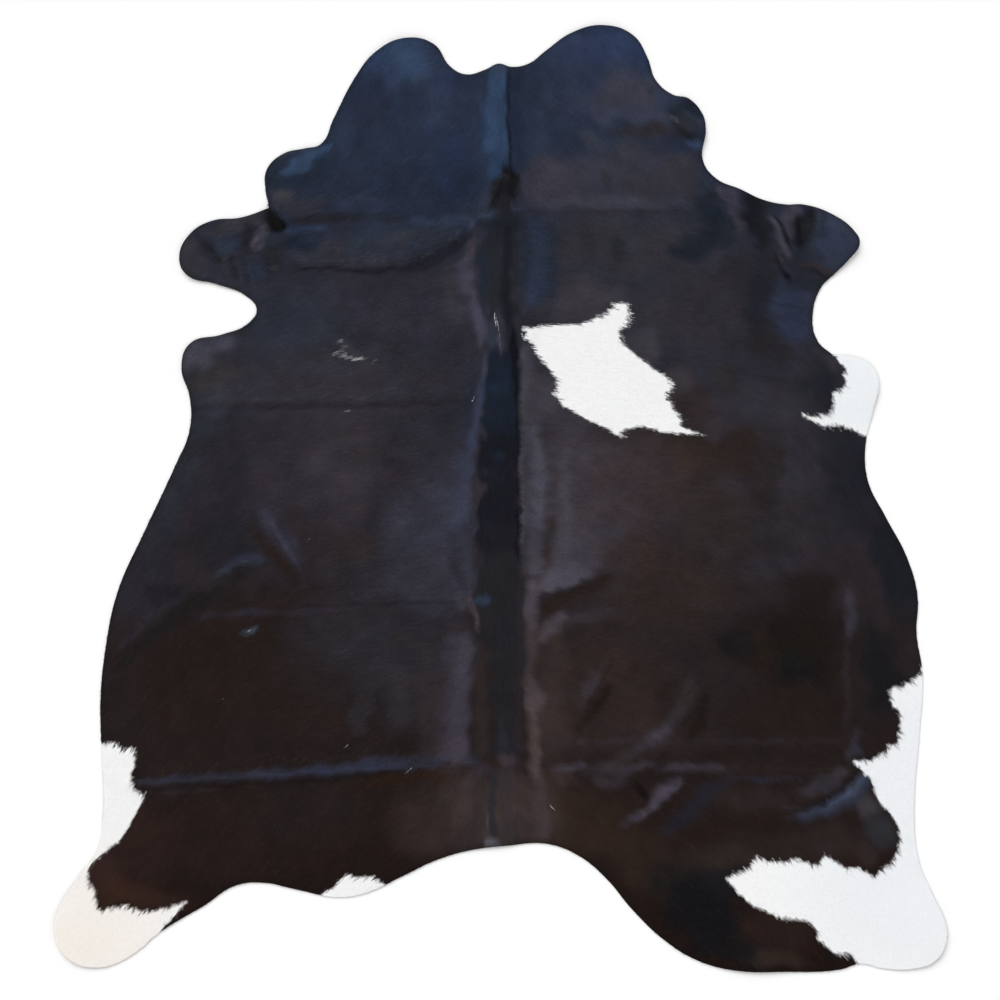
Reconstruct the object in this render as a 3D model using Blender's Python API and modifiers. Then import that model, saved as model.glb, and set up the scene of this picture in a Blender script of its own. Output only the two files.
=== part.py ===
"""A whole cowhide rug lying hair side up: one hide, cut to its natural outline, in the low folds it lies in.

Metres, +Z up. The head end points to +Y and the floor is Z = 0. X = 0 and Y = 0 are the middle of the hide's
length and width, so the spine runs down the Y axis.
"""

from collections import namedtuple

import bmesh
import bpy
import numpy as np

# The sheet: leather with its short hair lying flat on it.
LEATHER = 0.0022
HAIR = 0.0023
THICKNESS = LEATHER + HAIR

# The sheet is a grid of square cells before it is cut to its outline.
HIDE_LENGTH = 2.27
HIDE_WIDTH = 2.14
CELL = 0.030
MARGIN = 0.06

CURVE_STEPS = 4  # straight steps between two points of the outline
CUTTER_HEIGHT = 0.2
WELD_DISTANCE = 0.00001
FADE = 0.09  # a fold sinks away over this length at each end

Stretch = namedtuple("Stretch", "name sharp_end points")
Fold = namedtuple("Fold", "name x1 y1 x2 y2 height left right")
Lift = namedtuple("Lift", "name x y radius height")

# The edge, clockwise seen from above. A smooth curve runs through the points and turns a corner at a sharp
# end.
OUTLINE = (
    Stretch("crest of the neck", False, (
        (-0.035, 1.030), (-0.004, 1.044), (0.025, 1.036), (0.068, 1.044))),
    Stretch("right neck lobe", False, (
        (0.109, 1.075), (0.172, 1.118), (0.246, 1.135), (0.318, 1.111), (0.352, 1.058), (0.371, 1.006),
        (0.412, 0.970))),
    Stretch("right cheek", False, (
        (0.450, 0.960), (0.484, 0.922), (0.491, 0.886), (0.484, 0.814), (0.515, 0.770), (0.577, 0.742),
        (0.628, 0.718), (0.683, 0.706))),
    Stretch("right shank, top", True, (
        (0.726, 0.706), (0.796, 0.682), (0.846, 0.643), (0.860, 0.614), (0.834, 0.574), (0.800, 0.540))),
    Stretch("right shank, bay", True, (
        (0.769, 0.509), (0.748, 0.442), (0.760, 0.379), (0.796, 0.346))),
    Stretch("right fore flap", False, (
        (0.844, 0.341), (0.892, 0.317), (0.906, 0.283), (0.892, 0.209), (0.875, 0.130), (0.880, 0.046))),
    Stretch("right flank", False, (
        (0.925, -0.046), (0.973, -0.137), (1.000, -0.235), (0.997, -0.319), (1.012, -0.422), (1.004, -0.566),
        (0.992, -0.746), (1.002, -0.862))),
    Stretch("right hind foot", False, (
        (1.036, -0.948), (1.064, -1.010), (1.069, -1.054), (1.043, -1.106), (0.990, -1.126), (0.920, -1.126),
        (0.863, -1.114), (0.815, -1.128), (0.668, -1.133), (0.563, -1.130), (0.479, -1.109))),
    Stretch("right thigh", False, (
        (0.400, -1.063), (0.316, -0.984), (0.256, -0.912), (0.186, -0.854), (0.109, -0.826))),
    Stretch("tail recess", False, (
        (0.023, -0.830), (-0.073, -0.842), (-0.155, -0.866), (-0.241, -0.907), (-0.318, -0.943),
        (-0.392, -0.955), (-0.481, -0.938), (-0.582, -0.919), (-0.642, -0.929))),
    Stretch("left hind foot", False, (
        (-0.707, -0.972), (-0.808, -1.032), (-0.906, -1.106), (-0.971, -1.123), (-1.033, -1.104),
        (-1.067, -1.049), (-1.062, -0.994), (-1.016, -0.910), (-0.966, -0.840))),
    Stretch("left flank", False, (
        (-0.954, -0.758), (-0.956, -0.619), (-0.959, -0.482), (-0.949, -0.374), (-0.918, -0.223),
        (-0.853, -0.077), (-0.781, 0.077))),
    Stretch("left fore flap", False, (
        (-0.745, 0.166), (-0.745, 0.247), (-0.764, 0.314), (-0.745, 0.372), (-0.668, 0.394), (-0.606, 0.420),
        (-0.584, 0.454), (-0.606, 0.485))),
    Stretch("left shank", True, (
        (-0.680, 0.516), (-0.752, 0.538), (-0.769, 0.578), (-0.745, 0.634), (-0.692, 0.667), (-0.625, 0.674),
        (-0.553, 0.698))),
    Stretch("left cheek", False, (
        (-0.563, 0.742), (-0.560, 0.790), (-0.520, 0.828), (-0.469, 0.840), (-0.431, 0.850))),
    Stretch("left neck lobe", False, (
        (-0.400, 0.912), (-0.344, 1.018), (-0.301, 1.070), (-0.229, 1.104), (-0.160, 1.090), (-0.121, 1.037),
        (-0.083, 1.018))),
)

# Each fold is a soft ridge from its first end to its second. Left and right are its half widths to either
# side as one walks along it.
FOLDS = (
    Fold("spine of the neck", 0.013, 1.060, 0.020, 0.760, 0.005, 0.040, 0.070),
    Fold("spine of the back", 0.012, 0.760, -0.008, -0.880, 0.007, 0.060, 0.110),
    Fold("cross fold at the shoulder, left", -0.540, 0.700, 0.000, 0.690, 0.003, 0.045, 0.045),
    Fold("cross fold at the shoulder, right", 0.000, 0.690, 0.600, 0.686, 0.002, 0.045, 0.045),
    Fold("shoulder wrinkle", -0.520, 0.565, -0.150, 0.548, 0.005, 0.045, 0.060),
    Fold("shoulder wrinkle, rising end", -0.220, 0.545, -0.080, 0.650, 0.004, 0.060, 0.045),
    Fold("cross fold at the ribs", -0.760, 0.226, -0.030, 0.226, 0.002, 0.050, 0.050),
    Fold("cross fold at the loin", -0.950, -0.271, -0.030, -0.242, 0.003, 0.050, 0.050),
    Fold("cross fold at the rump, left", -0.900, -0.680, -0.030, -0.628, 0.006, 0.055, 0.060),
    Fold("cross fold at the rump, right", 0.020, -0.640, 0.880, -0.664, 0.004, 0.055, 0.060),
    Fold("rump diagonal", 0.300, -0.805, 0.460, -0.655, 0.004, 0.050, 0.060),
    Fold("thigh crease", 0.660, -0.775, 0.900, -0.670, 0.005, 0.050, 0.055),
    Fold("flank dent, left", -0.640, -0.060, -0.450, -0.250, 0.006, 0.090, 0.060),
    Fold("belly arc, left", -0.980, -0.390, -0.600, -0.200, 0.004, 0.070, 0.060),
    Fold("loin wrinkle, right", 0.170, -0.370, 0.270, -0.540, 0.003, 0.055, 0.050),
    Fold("hip wrinkle, right", 0.340, -0.430, 0.500, -0.650, 0.003, 0.060, 0.055),
    Fold("left shank roll", -0.610, 0.700, -0.690, 0.480, 0.007, 0.060, 0.055),
    Fold("left shank end", -0.740, 0.690, -0.690, 0.520, 0.004, 0.050, 0.060),
    Fold("right shank roll", 0.650, 0.730, 0.690, 0.500, 0.006, 0.060, 0.050),
    Fold("right shank end", 0.790, 0.720, 0.735, 0.560, 0.006, 0.060, 0.060),
    Fold("lap of the left cheek", -0.590, 0.750, -0.490, 0.600, 0.007, 0.110, 0.035),
    Fold("left cheek fold", -0.380, 0.870, -0.560, 0.750, 0.006, 0.060, 0.060),
    Fold("right cheek fold", 0.380, 0.910, 0.520, 0.830, 0.007, 0.055, 0.050),
)

# The ends of the lobes and legs curl up off the floor a little.
LIFTS = (
    Lift("left neck lobe", -0.240, 1.110, 0.170, 0.010),
    Lift("right neck lobe", 0.250, 1.140, 0.180, 0.008),
    Lift("left shank", -0.780, 0.580, 0.120, 0.010),
    Lift("right shank", 0.870, 0.615, 0.140, 0.012),
    Lift("right cheek", 0.500, 0.890, 0.090, 0.006),
    Lift("left fore flap", -0.775, 0.315, 0.110, 0.007),
    Lift("right fore flap", 0.915, 0.280, 0.130, 0.006),
    Lift("left hind foot", -1.080, -1.060, 0.190, 0.010),
    Lift("right hind foot", 1.080, -1.060, 0.190, 0.008),
    Lift("right thigh", 0.620, -1.150, 0.130, 0.006),
)

COAT_COLOUR = (0.028, 0.022, 0.024, 1.0)
COAT_ROUGHNESS = 0.55


def clear_scene():
    for obj in list(bpy.data.objects):
        bpy.data.objects.remove(obj, do_unlink=True)


def new_collection(name):
    collection = bpy.data.collections.new(name)
    bpy.context.scene.collection.children.link(collection)
    return collection


def coat_material():
    material = bpy.data.materials.new("dark_coat")
    material.use_nodes = True
    shader = material.node_tree.nodes["Principled BSDF"]
    shader.inputs["Base Color"].default_value = COAT_COLOUR
    shader.inputs["Roughness"].default_value = COAT_ROUGHNESS
    shader.inputs["Metallic"].default_value = 0.0
    return material


def eased(share):
    """0 up to a share of 0, 1 from a share of 1, and a smooth step between."""
    share = np.clip(share, 0.0, 1.0)
    return share * share * (3.0 - 2.0 * share)


def fold_height(fold, x, y):
    """Height of one ridge: full on its line, gone at its half widths and past its ends."""
    run_x, run_y = fold.x2 - fold.x1, fold.y2 - fold.y1
    length = np.hypot(run_x, run_y)
    along = ((x - fold.x1) * run_x + (y - fold.y1) * run_y) / length
    across = ((y - fold.y1) * run_x - (x - fold.x1) * run_y) / length
    half_width = np.where(across > 0.0, fold.left, fold.right)
    ends = eased(np.minimum(along, length - along) / FADE)
    return fold.height * eased(1.0 - np.abs(across) / half_width) * ends


def lift_height(lift, x, y):
    """Height of one curled end: full at its middle, gone at its radius."""
    away = np.hypot(x - lift.x, y - lift.y)
    return lift.height * eased(1.0 - away / lift.radius)


def underside(x, y):
    """Height of the hide's underside over the floor. It lies flat wherever no fold or lift raises it."""
    height = np.zeros_like(x)
    for fold in FOLDS:
        height = np.maximum(height, fold_height(fold, x, y))
    for lift in LIFTS:
        height = height + lift_height(lift, x, y)
    return height


def make_sheet(collection, material):
    """The hide before it is cut: a grid raised to the folds, and made a sheet by Solidify."""
    length = HIDE_LENGTH + 2.0 * MARGIN
    width = HIDE_WIDTH + 2.0 * MARGIN
    mesh = bpy.data.meshes.new("hide")
    builder = bmesh.new()
    # A grid one metre square, which is then stretched to the sheet's size.
    bmesh.ops.create_grid(
        builder, x_segments=round(width / CELL), y_segments=round(length / CELL), size=0.5)
    builder.to_mesh(mesh)
    builder.free()

    places = np.empty(3 * len(mesh.vertices), np.float32)
    mesh.vertices.foreach_get("co", places)
    places = places.reshape(-1, 3)
    places[:, 0] *= width
    places[:, 1] *= length
    places[:, 2] = underside(places[:, 0], places[:, 1])
    mesh.vertices.foreach_set("co", places.ravel())
    mesh.update()

    sheet = bpy.data.objects.new("hide", mesh)
    sheet.data.materials.append(material)
    collection.objects.link(sheet)
    solidify = sheet.modifiers.new("thickness", "SOLIDIFY")
    solidify.thickness = THICKNESS
    solidify.offset = 1.0
    return sheet


def outline_curve(collection):
    """A flat closed curve through the outline's points."""
    data = bpy.data.curves.new("outline", "CURVE")
    data.dimensions = "2D"
    data.fill_mode = "BOTH"
    data.extrude = CUTTER_HEIGHT / 2.0
    data.resolution_u = CURVE_STEPS
    points = [point for stretch in OUTLINE for point in stretch.points]
    corners = {stretch.points[-1] for stretch in OUTLINE if stretch.sharp_end}
    spline = data.splines.new("BEZIER")
    spline.bezier_points.add(len(points) - 1)
    spline.use_cyclic_u = True
    for knot, (x, y) in zip(spline.bezier_points, points, strict=True):
        knot.co = (x, y, 0.0)
        handle = "VECTOR" if (x, y) in corners else "AUTO"
        knot.handle_left_type = handle
        knot.handle_right_type = handle
    curve = bpy.data.objects.new("outline", data)
    collection.objects.link(curve)
    return curve


def make_cutter(collection):
    """The outline as a closed solid that reaches well above and below the sheet."""
    curve = outline_curve(collection)
    bpy.context.view_layer.update()
    graph = bpy.context.evaluated_depsgraph_get()
    mesh = bpy.data.meshes.new_from_object(curve.evaluated_get(graph))
    builder = bmesh.new()
    builder.from_mesh(mesh)
    bmesh.ops.remove_doubles(builder, verts=builder.verts, dist=WELD_DISTANCE)
    bmesh.ops.recalc_face_normals(builder, faces=builder.faces)
    builder.to_mesh(mesh)
    builder.free()

    cutter = bpy.data.objects.new("outline_cutter", mesh)
    cutter.matrix_world = curve.matrix_world.copy()
    cutter.hide_render = True
    cutter.display_type = "WIRE"
    collection.objects.link(cutter)
    bpy.data.objects.remove(curve, do_unlink=True)
    return cutter


def main():
    clear_scene()
    rug = new_collection("cowhide_rug")
    cutters = new_collection("cutters")
    sheet = make_sheet(rug, coat_material())
    cut = sheet.modifiers.new("outline", "BOOLEAN")
    cut.operation = "INTERSECT"
    cut.solver = "EXACT"
    cut.object = make_cutter(cutters)


main()
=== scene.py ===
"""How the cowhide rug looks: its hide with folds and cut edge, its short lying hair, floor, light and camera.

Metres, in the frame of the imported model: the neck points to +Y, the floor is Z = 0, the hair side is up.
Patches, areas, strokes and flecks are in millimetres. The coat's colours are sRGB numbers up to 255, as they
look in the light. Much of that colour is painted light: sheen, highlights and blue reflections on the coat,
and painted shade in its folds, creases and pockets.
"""

import math
from collections import namedtuple

import bpy
import numpy as np
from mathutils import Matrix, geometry


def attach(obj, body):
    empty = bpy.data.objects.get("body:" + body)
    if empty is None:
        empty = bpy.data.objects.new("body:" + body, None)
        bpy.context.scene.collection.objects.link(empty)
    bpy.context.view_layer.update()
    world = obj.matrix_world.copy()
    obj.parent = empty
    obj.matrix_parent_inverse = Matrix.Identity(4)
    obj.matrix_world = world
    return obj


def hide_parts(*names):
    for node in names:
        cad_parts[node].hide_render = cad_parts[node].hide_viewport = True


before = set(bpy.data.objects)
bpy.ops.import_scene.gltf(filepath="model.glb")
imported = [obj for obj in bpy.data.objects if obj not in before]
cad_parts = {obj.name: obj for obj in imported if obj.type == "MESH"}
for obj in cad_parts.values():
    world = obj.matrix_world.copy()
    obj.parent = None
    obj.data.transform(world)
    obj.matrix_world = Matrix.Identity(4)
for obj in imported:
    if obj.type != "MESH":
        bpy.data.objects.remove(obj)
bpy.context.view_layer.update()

Stretch = namedtuple("Stretch", "name sharp_end points")
Fold = namedtuple("Fold", "name x1 y1 x2 y2 height left right")
Lift = namedtuple("Lift", "name x y radius height")
Wave = namedtuple("Wave", "length heading phase height")
Rim = namedtuple("Rim", "name out height")
Patch = namedtuple("Patch", "name points")
Shade = namedtuple("Shade", "name y colour")
# An area is a soft oval, turned by some degrees.
Area = namedtuple("Area", "name x y reach_x reach_y colour strength turn", defaults=(0,))
# A stroke fades out over its blur. Only some have another blur on the right of their way. Each point is x, y
# and half width.
Stroke = namedtuple("Stroke", "name blur colour strength points right_blur", defaults=(None,))
Fleck = namedtuple("Fleck", "name x y length spread hairs shade")
Mottle = namedtuple("Mottle", "size share")
Lamp = namedtuple("Lamp", "name heading height strength spread colour")
Region = namedtuple("Region", "name low_x high_x low_y high_y")

# The cut size of the hide and the layers of the sheet.
LEATHER = 0.0022
HAIR_BED = 0.0012  # the hair that is packed under the topmost
MM = 0.001
FADE = 0.09  # a fold of the hide sinks away over this length at each end
CREASE_FADE = 0.035

# Meshes of the hide.
CURVE_STEPS = 8
EDGE_STEP = 0.008
TOP_STEP = 0.0085
FLESH_STEP = 0.022
INSET = 0.55  # of a step, kept free inside the edge
RIM_DEPTH = 0.004  # and this much more, for the rim
MERGE = 1e-7  # points of a filled area that are nearer than this are one
SAME_PLACE = 1e-5  # how closely a filled area keeps to its ring
RING_BATCH = 3_000_000  # pairs of a place and a step of a ring that are worked out at a time
TINY = 1e-12  # stands in for zero, so that nothing is divided by it
LEAST_RUN = 1e-6

# Charts over the floor.
CHART_LOW = (-1.13, -1.19)
CHART_HIGH = (1.13, 1.19)
CHART_STEP = 0.003
EDGE_CHART_STEP = 0.006

# The hair.
SEED = 41
LOCK_STEP = 0.0066
LOCK_SCATTER = 0.25  # of a step
LOCK_REACH = 0.001  # a lock may start this far outside the edge
HAIRS_A_LOCK = 9
BARE_EDGE = 0.0006  # no hair is rooted nearer to the edge
LOCK_HALF_WIDTH = 0.0042
LOCK_HALF_LENGTH = 0.0075
HAIR_LENGTH = 0.014
LOCK_LENGTHS = (0.75, 1.25)  # least and most, as shares of the above
HAIR_LENGTHS = (0.78, 1.15)  # and of its lock's
HAIR_WIDTH = 0.00115
HAIR_WIDTHS = (0.75, 1.25)
HAIR_RISE = 0.0007
LOCK_RISES = (0.8, 1.25)
HAIR_RISES = (0.8, 1.2)
LEAST_RISE = 0.3  # of a hair that the edge cuts short
GATHER = 0.6  # how far a lock's tips draw together
LOCK_TURN = 6.0
HAIR_TURN = 3.0
LOCK_LEAN = 0.4
HAIR_LEAN = 0.8
LOCK_TONE = 0.014
HAIR_TONE = 0.02
WHITE_TONE = 0.2  # white hairs differ in tone by this share of what dark ones do
WHITE_CALM = 0.25  # and rise and lean by this share
OVERHANG = (0.0005, 0.0030)
PATCH_SHIFT = 0.006  # a hair takes the colour of the patch that its middle lies in
PATCH_RAG = 0.010  # how far a lock's patch edge lies before or behind the outline of the patch
HAIR_RAG = 0.004
# Roots are darker than tips: painted shade deep in the coat.
ROOT_PAINTED_SHADE = 0.97
WHITE_ROOT_PAINTED_SHADE = 0.98
ROOT_DEPTH = 0.0003
# The bed between the hairs is darker still: painted shade under the hair.
BED_PAINTED_SHADE = 0.80
WHITE_BED_PAINTED_SHADE = 0.95
# Painted shade along the hide's edge, where the hair curves down over the cut.
EDGE_PAINTED_SHADE = 0.35
EDGE_PAINTED_SHADE_REACH = 0.010

# The lie of the hair, in degrees below the sideways line. Each turn has the place where it starts and the
# length over which it comes in. The hair turns to run along the spine between two distances from it.
SPINE_HEAD = (0.018, 0.90)
SPINE_TAIL = (0.004, 0.60)
SPINE_EAST = (0.039, 0.046)
SPINE_WEST = (0.040, 0.100)
LIE_BACK = 15.0
LIE_NECK = 50.0
NECK_TURN = (0.55, 0.35)
LIE_RUMP = 45.0
RUMP_TURN = (-0.30, 0.40)
LIE_FLANK = 55.0
FLANK_TURN = (0.45, 0.40)
LIE_SPINE = 90.0
LIE_WAVE = 7.0
LIE_WAVE_ASIDE = 9.0  # radians a metre, as the next two
LIE_WAVE_BEND = 5.0
LIE_WAVE_ALONG = 7.0
LIE_WAVE_SWING = 2.0
LIE_WAVE_PHASE = 1.3

# White locks in the dark coat.
FLECK_HAIR_WIDTH = 0.0006
FLECK_HALF_LENGTH = 0.007
FLECK_LIFT = 0.0006
FLECK_TONES = (0.4, 1.5)

# How far areas and strokes waver and how wide the waves are, how strokes end, and how ragged they are.
PAINT_SEED = 17
WAVER = 0.007
WAVER_SIZE = 0.05
STROKE_WAVER = 0.0022
STROKE_WAVER_SIZE = 0.022
STROKE_TAPER = 0.014
STROKE_END = 0.005
STROKE_RAG = 0.22
RAG_SIZE = 0.03
RAG_ROOM = 1.5  # of the half width, looked at round a stroke
AREA_FALL = 1.5  # an area is full within a third of its reach

# Mottling of the dark coat, the streaks along its hair, and its warm or cool cast.
MOTTLES = (Mottle(0.055, 0.06), Mottle(0.022, 0.05), Mottle(0.010, 0.025))
STREAK_WIDTH = 0.003
STREAK_REACH = 0.016
STREAK_STEPS = 13
STREAK_SHARE = 0.035
CAST_SIZE = 0.045
CAST_SHARE = 0.02
CAST = np.array([1.0, 0.1, -1.0])

# Paint is given as it looks in the light. The gloss adds light of its own, and hairs shade each other.
# GLOSS_LIGHT is a program's output: what a straight line fitted to lit render against paint gives at no
# paint, for red, green and blue. COAT_GAIN and WHITE_GAIN were last changed after readings of the render
# and the photograph.
GLOSS_LIGHT = np.array([0.0062, 0.0057, 0.0057])
COAT_GAIN = np.array([1.135, 1.132, 1.09])
LEAST_PAINT = 0.0015
WHITE_GAIN = 0.838

# Finishes: how fine their noise is, in spots a metre, and colours in linear light.
HAIR_BLOTCHES = 9.0
HAIR_SPECKLES = 70.0
HAIR_GLOSS_SPOTS = 23.0
BED_GRAIN = 420.0
SUEDE_CLOUDS = 6.0
SUEDE_NAP = 900.0
SUEDE_VEINS = 7.0
CUT_FIBRES = 1400.0
VEIN_WIDTH = 0.05  # how far a vein reaches from a cell's edge, in cells
SUEDE_PALE = (0.60, 0.53, 0.43, 1.0)
SUEDE_DEEP = (0.43, 0.36, 0.28, 1.0)
CUT_PALE = (0.50, 0.43, 0.34, 1.0)
CUT_DEEP = (0.25, 0.19, 0.14, 1.0)
FLOOR_COLOUR = (0.775, 0.775, 0.775, 1.0)

# The room and the camera. A lamp's heading is the side that it shines from, in degrees from +X, and its
# height is its angle over the floor.
FLOOR_REACH = 60.0
FLOOR_LEVEL = -0.0008
LAMPS = (
    Lamp("head_light", 112.0, 46.0, 2.60, 50.0, (0.99, 0.995, 1.00)),
    Lamp("tail_light", 285.0, 55.0, 0.95, 60.0, (1.00, 0.99, 0.98)),
)
SKY_COLOUR = (0.99, 0.995, 1.0, 1.0)
SKY_STRENGTH = 0.46
CAMERA_HEIGHT = 6.0
CAMERA_PLACE = (-0.0012, -0.0024)
VIEW_WIDTH = 2.4
SENSOR = 36.0
FAR_CLIP = 100.0

# The edge, clockwise seen from above. A smooth curve runs through the points and turns a corner at a sharp
# end.
OUTLINE = (
    Stretch("crest of the neck", False, (
        (-0.035, 1.030), (-0.004, 1.044), (0.025, 1.036), (0.068, 1.044))),
    Stretch("right neck lobe", False, (
        (0.109, 1.075), (0.172, 1.118), (0.246, 1.135), (0.318, 1.111), (0.352, 1.058), (0.371, 1.006),
        (0.412, 0.970))),
    Stretch("right cheek", False, (
        (0.450, 0.960), (0.484, 0.922), (0.491, 0.886), (0.484, 0.814), (0.515, 0.770), (0.577, 0.742),
        (0.628, 0.718), (0.683, 0.706))),
    Stretch("right shank, top", True, (
        (0.726, 0.706), (0.796, 0.682), (0.846, 0.643), (0.860, 0.614), (0.834, 0.574), (0.800, 0.540))),
    Stretch("right shank, bay", True, (
        (0.769, 0.509), (0.748, 0.442), (0.760, 0.379), (0.796, 0.346))),
    Stretch("right fore flap", False, (
        (0.844, 0.341), (0.892, 0.317), (0.906, 0.283), (0.892, 0.209), (0.875, 0.130), (0.880, 0.046))),
    Stretch("right flank", False, (
        (0.925, -0.046), (0.973, -0.137), (1.000, -0.235), (0.997, -0.319), (1.012, -0.422), (1.004, -0.566),
        (0.992, -0.746), (1.002, -0.862))),
    Stretch("right hind foot", False, (
        (1.036, -0.948), (1.064, -1.010), (1.069, -1.054), (1.043, -1.106), (0.990, -1.126), (0.920, -1.126),
        (0.863, -1.114), (0.815, -1.128), (0.668, -1.133), (0.563, -1.130), (0.479, -1.109))),
    Stretch("right thigh", False, (
        (0.400, -1.063), (0.316, -0.984), (0.256, -0.912), (0.186, -0.854), (0.109, -0.826))),
    Stretch("tail recess", False, (
        (0.023, -0.830), (-0.073, -0.842), (-0.155, -0.866), (-0.241, -0.907), (-0.318, -0.943),
        (-0.392, -0.955), (-0.481, -0.938), (-0.582, -0.919), (-0.642, -0.929))),
    Stretch("left hind foot", False, (
        (-0.707, -0.972), (-0.808, -1.032), (-0.906, -1.106), (-0.971, -1.123), (-1.033, -1.104),
        (-1.067, -1.049), (-1.062, -0.994), (-1.016, -0.910), (-0.966, -0.840))),
    Stretch("left flank", False, (
        (-0.954, -0.758), (-0.956, -0.619), (-0.959, -0.482), (-0.949, -0.374), (-0.918, -0.223),
        (-0.853, -0.077), (-0.781, 0.077))),
    Stretch("left fore flap", False, (
        (-0.745, 0.166), (-0.745, 0.247), (-0.764, 0.314), (-0.745, 0.372), (-0.668, 0.394), (-0.606, 0.420),
        (-0.584, 0.454), (-0.606, 0.485))),
    Stretch("left shank", True, (
        (-0.680, 0.516), (-0.752, 0.538), (-0.769, 0.578), (-0.745, 0.634), (-0.692, 0.667), (-0.625, 0.674),
        (-0.553, 0.698))),
    Stretch("left cheek", False, (
        (-0.563, 0.742), (-0.560, 0.790), (-0.520, 0.828), (-0.469, 0.840), (-0.431, 0.850))),
    Stretch("left neck lobe", False, (
        (-0.400, 0.912), (-0.344, 1.018), (-0.301, 1.070), (-0.229, 1.104), (-0.160, 1.090), (-0.121, 1.037),
        (-0.083, 1.018))),
)

# Each fold is a soft ridge from its first end to its second. Left and right are its half widths to either
# side as one walks along it.
FOLDS = (
    Fold("spine of the neck", 0.013, 1.060, 0.020, 0.760, 0.005, 0.040, 0.070),
    Fold("spine of the back", 0.012, 0.760, -0.008, -0.880, 0.007, 0.060, 0.110),
    Fold("cross fold at the shoulder, left", -0.540, 0.700, 0.000, 0.690, 0.003, 0.045, 0.045),
    Fold("cross fold at the shoulder, right", 0.000, 0.690, 0.600, 0.686, 0.002, 0.045, 0.045),
    Fold("shoulder wrinkle", -0.520, 0.565, -0.150, 0.548, 0.005, 0.045, 0.060),
    Fold("shoulder wrinkle, rising end", -0.220, 0.545, -0.080, 0.650, 0.004, 0.060, 0.045),
    Fold("cross fold at the ribs", -0.760, 0.226, -0.030, 0.226, 0.002, 0.050, 0.050),
    Fold("cross fold at the loin", -0.950, -0.271, -0.030, -0.242, 0.003, 0.050, 0.050),
    Fold("cross fold at the rump, left", -0.900, -0.680, -0.030, -0.628, 0.006, 0.055, 0.060),
    Fold("cross fold at the rump, right", 0.020, -0.640, 0.880, -0.664, 0.004, 0.055, 0.060),
    Fold("rump diagonal", 0.300, -0.805, 0.460, -0.655, 0.004, 0.050, 0.060),
    Fold("thigh crease", 0.660, -0.775, 0.900, -0.670, 0.005, 0.050, 0.055),
    Fold("flank dent, left", -0.640, -0.060, -0.450, -0.250, 0.006, 0.090, 0.060),
    Fold("belly arc, left", -0.980, -0.390, -0.600, -0.200, 0.004, 0.070, 0.060),
    Fold("loin wrinkle, right", 0.170, -0.370, 0.270, -0.540, 0.003, 0.055, 0.050),
    Fold("hip wrinkle, right", 0.340, -0.430, 0.500, -0.650, 0.003, 0.060, 0.055),
    Fold("left shank roll", -0.610, 0.700, -0.690, 0.480, 0.007, 0.060, 0.055),
    Fold("left shank end", -0.740, 0.690, -0.690, 0.520, 0.004, 0.050, 0.060),
    Fold("right shank roll", 0.650, 0.730, 0.690, 0.500, 0.006, 0.060, 0.050),
    Fold("right shank end", 0.790, 0.720, 0.735, 0.560, 0.006, 0.060, 0.060),
    Fold("lap of the left cheek", -0.590, 0.750, -0.490, 0.600, 0.007, 0.110, 0.035),
    Fold("left cheek fold", -0.380, 0.870, -0.560, 0.750, 0.006, 0.060, 0.060),
    Fold("right cheek fold", 0.380, 0.910, 0.520, 0.830, 0.007, 0.055, 0.050),
)

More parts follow.
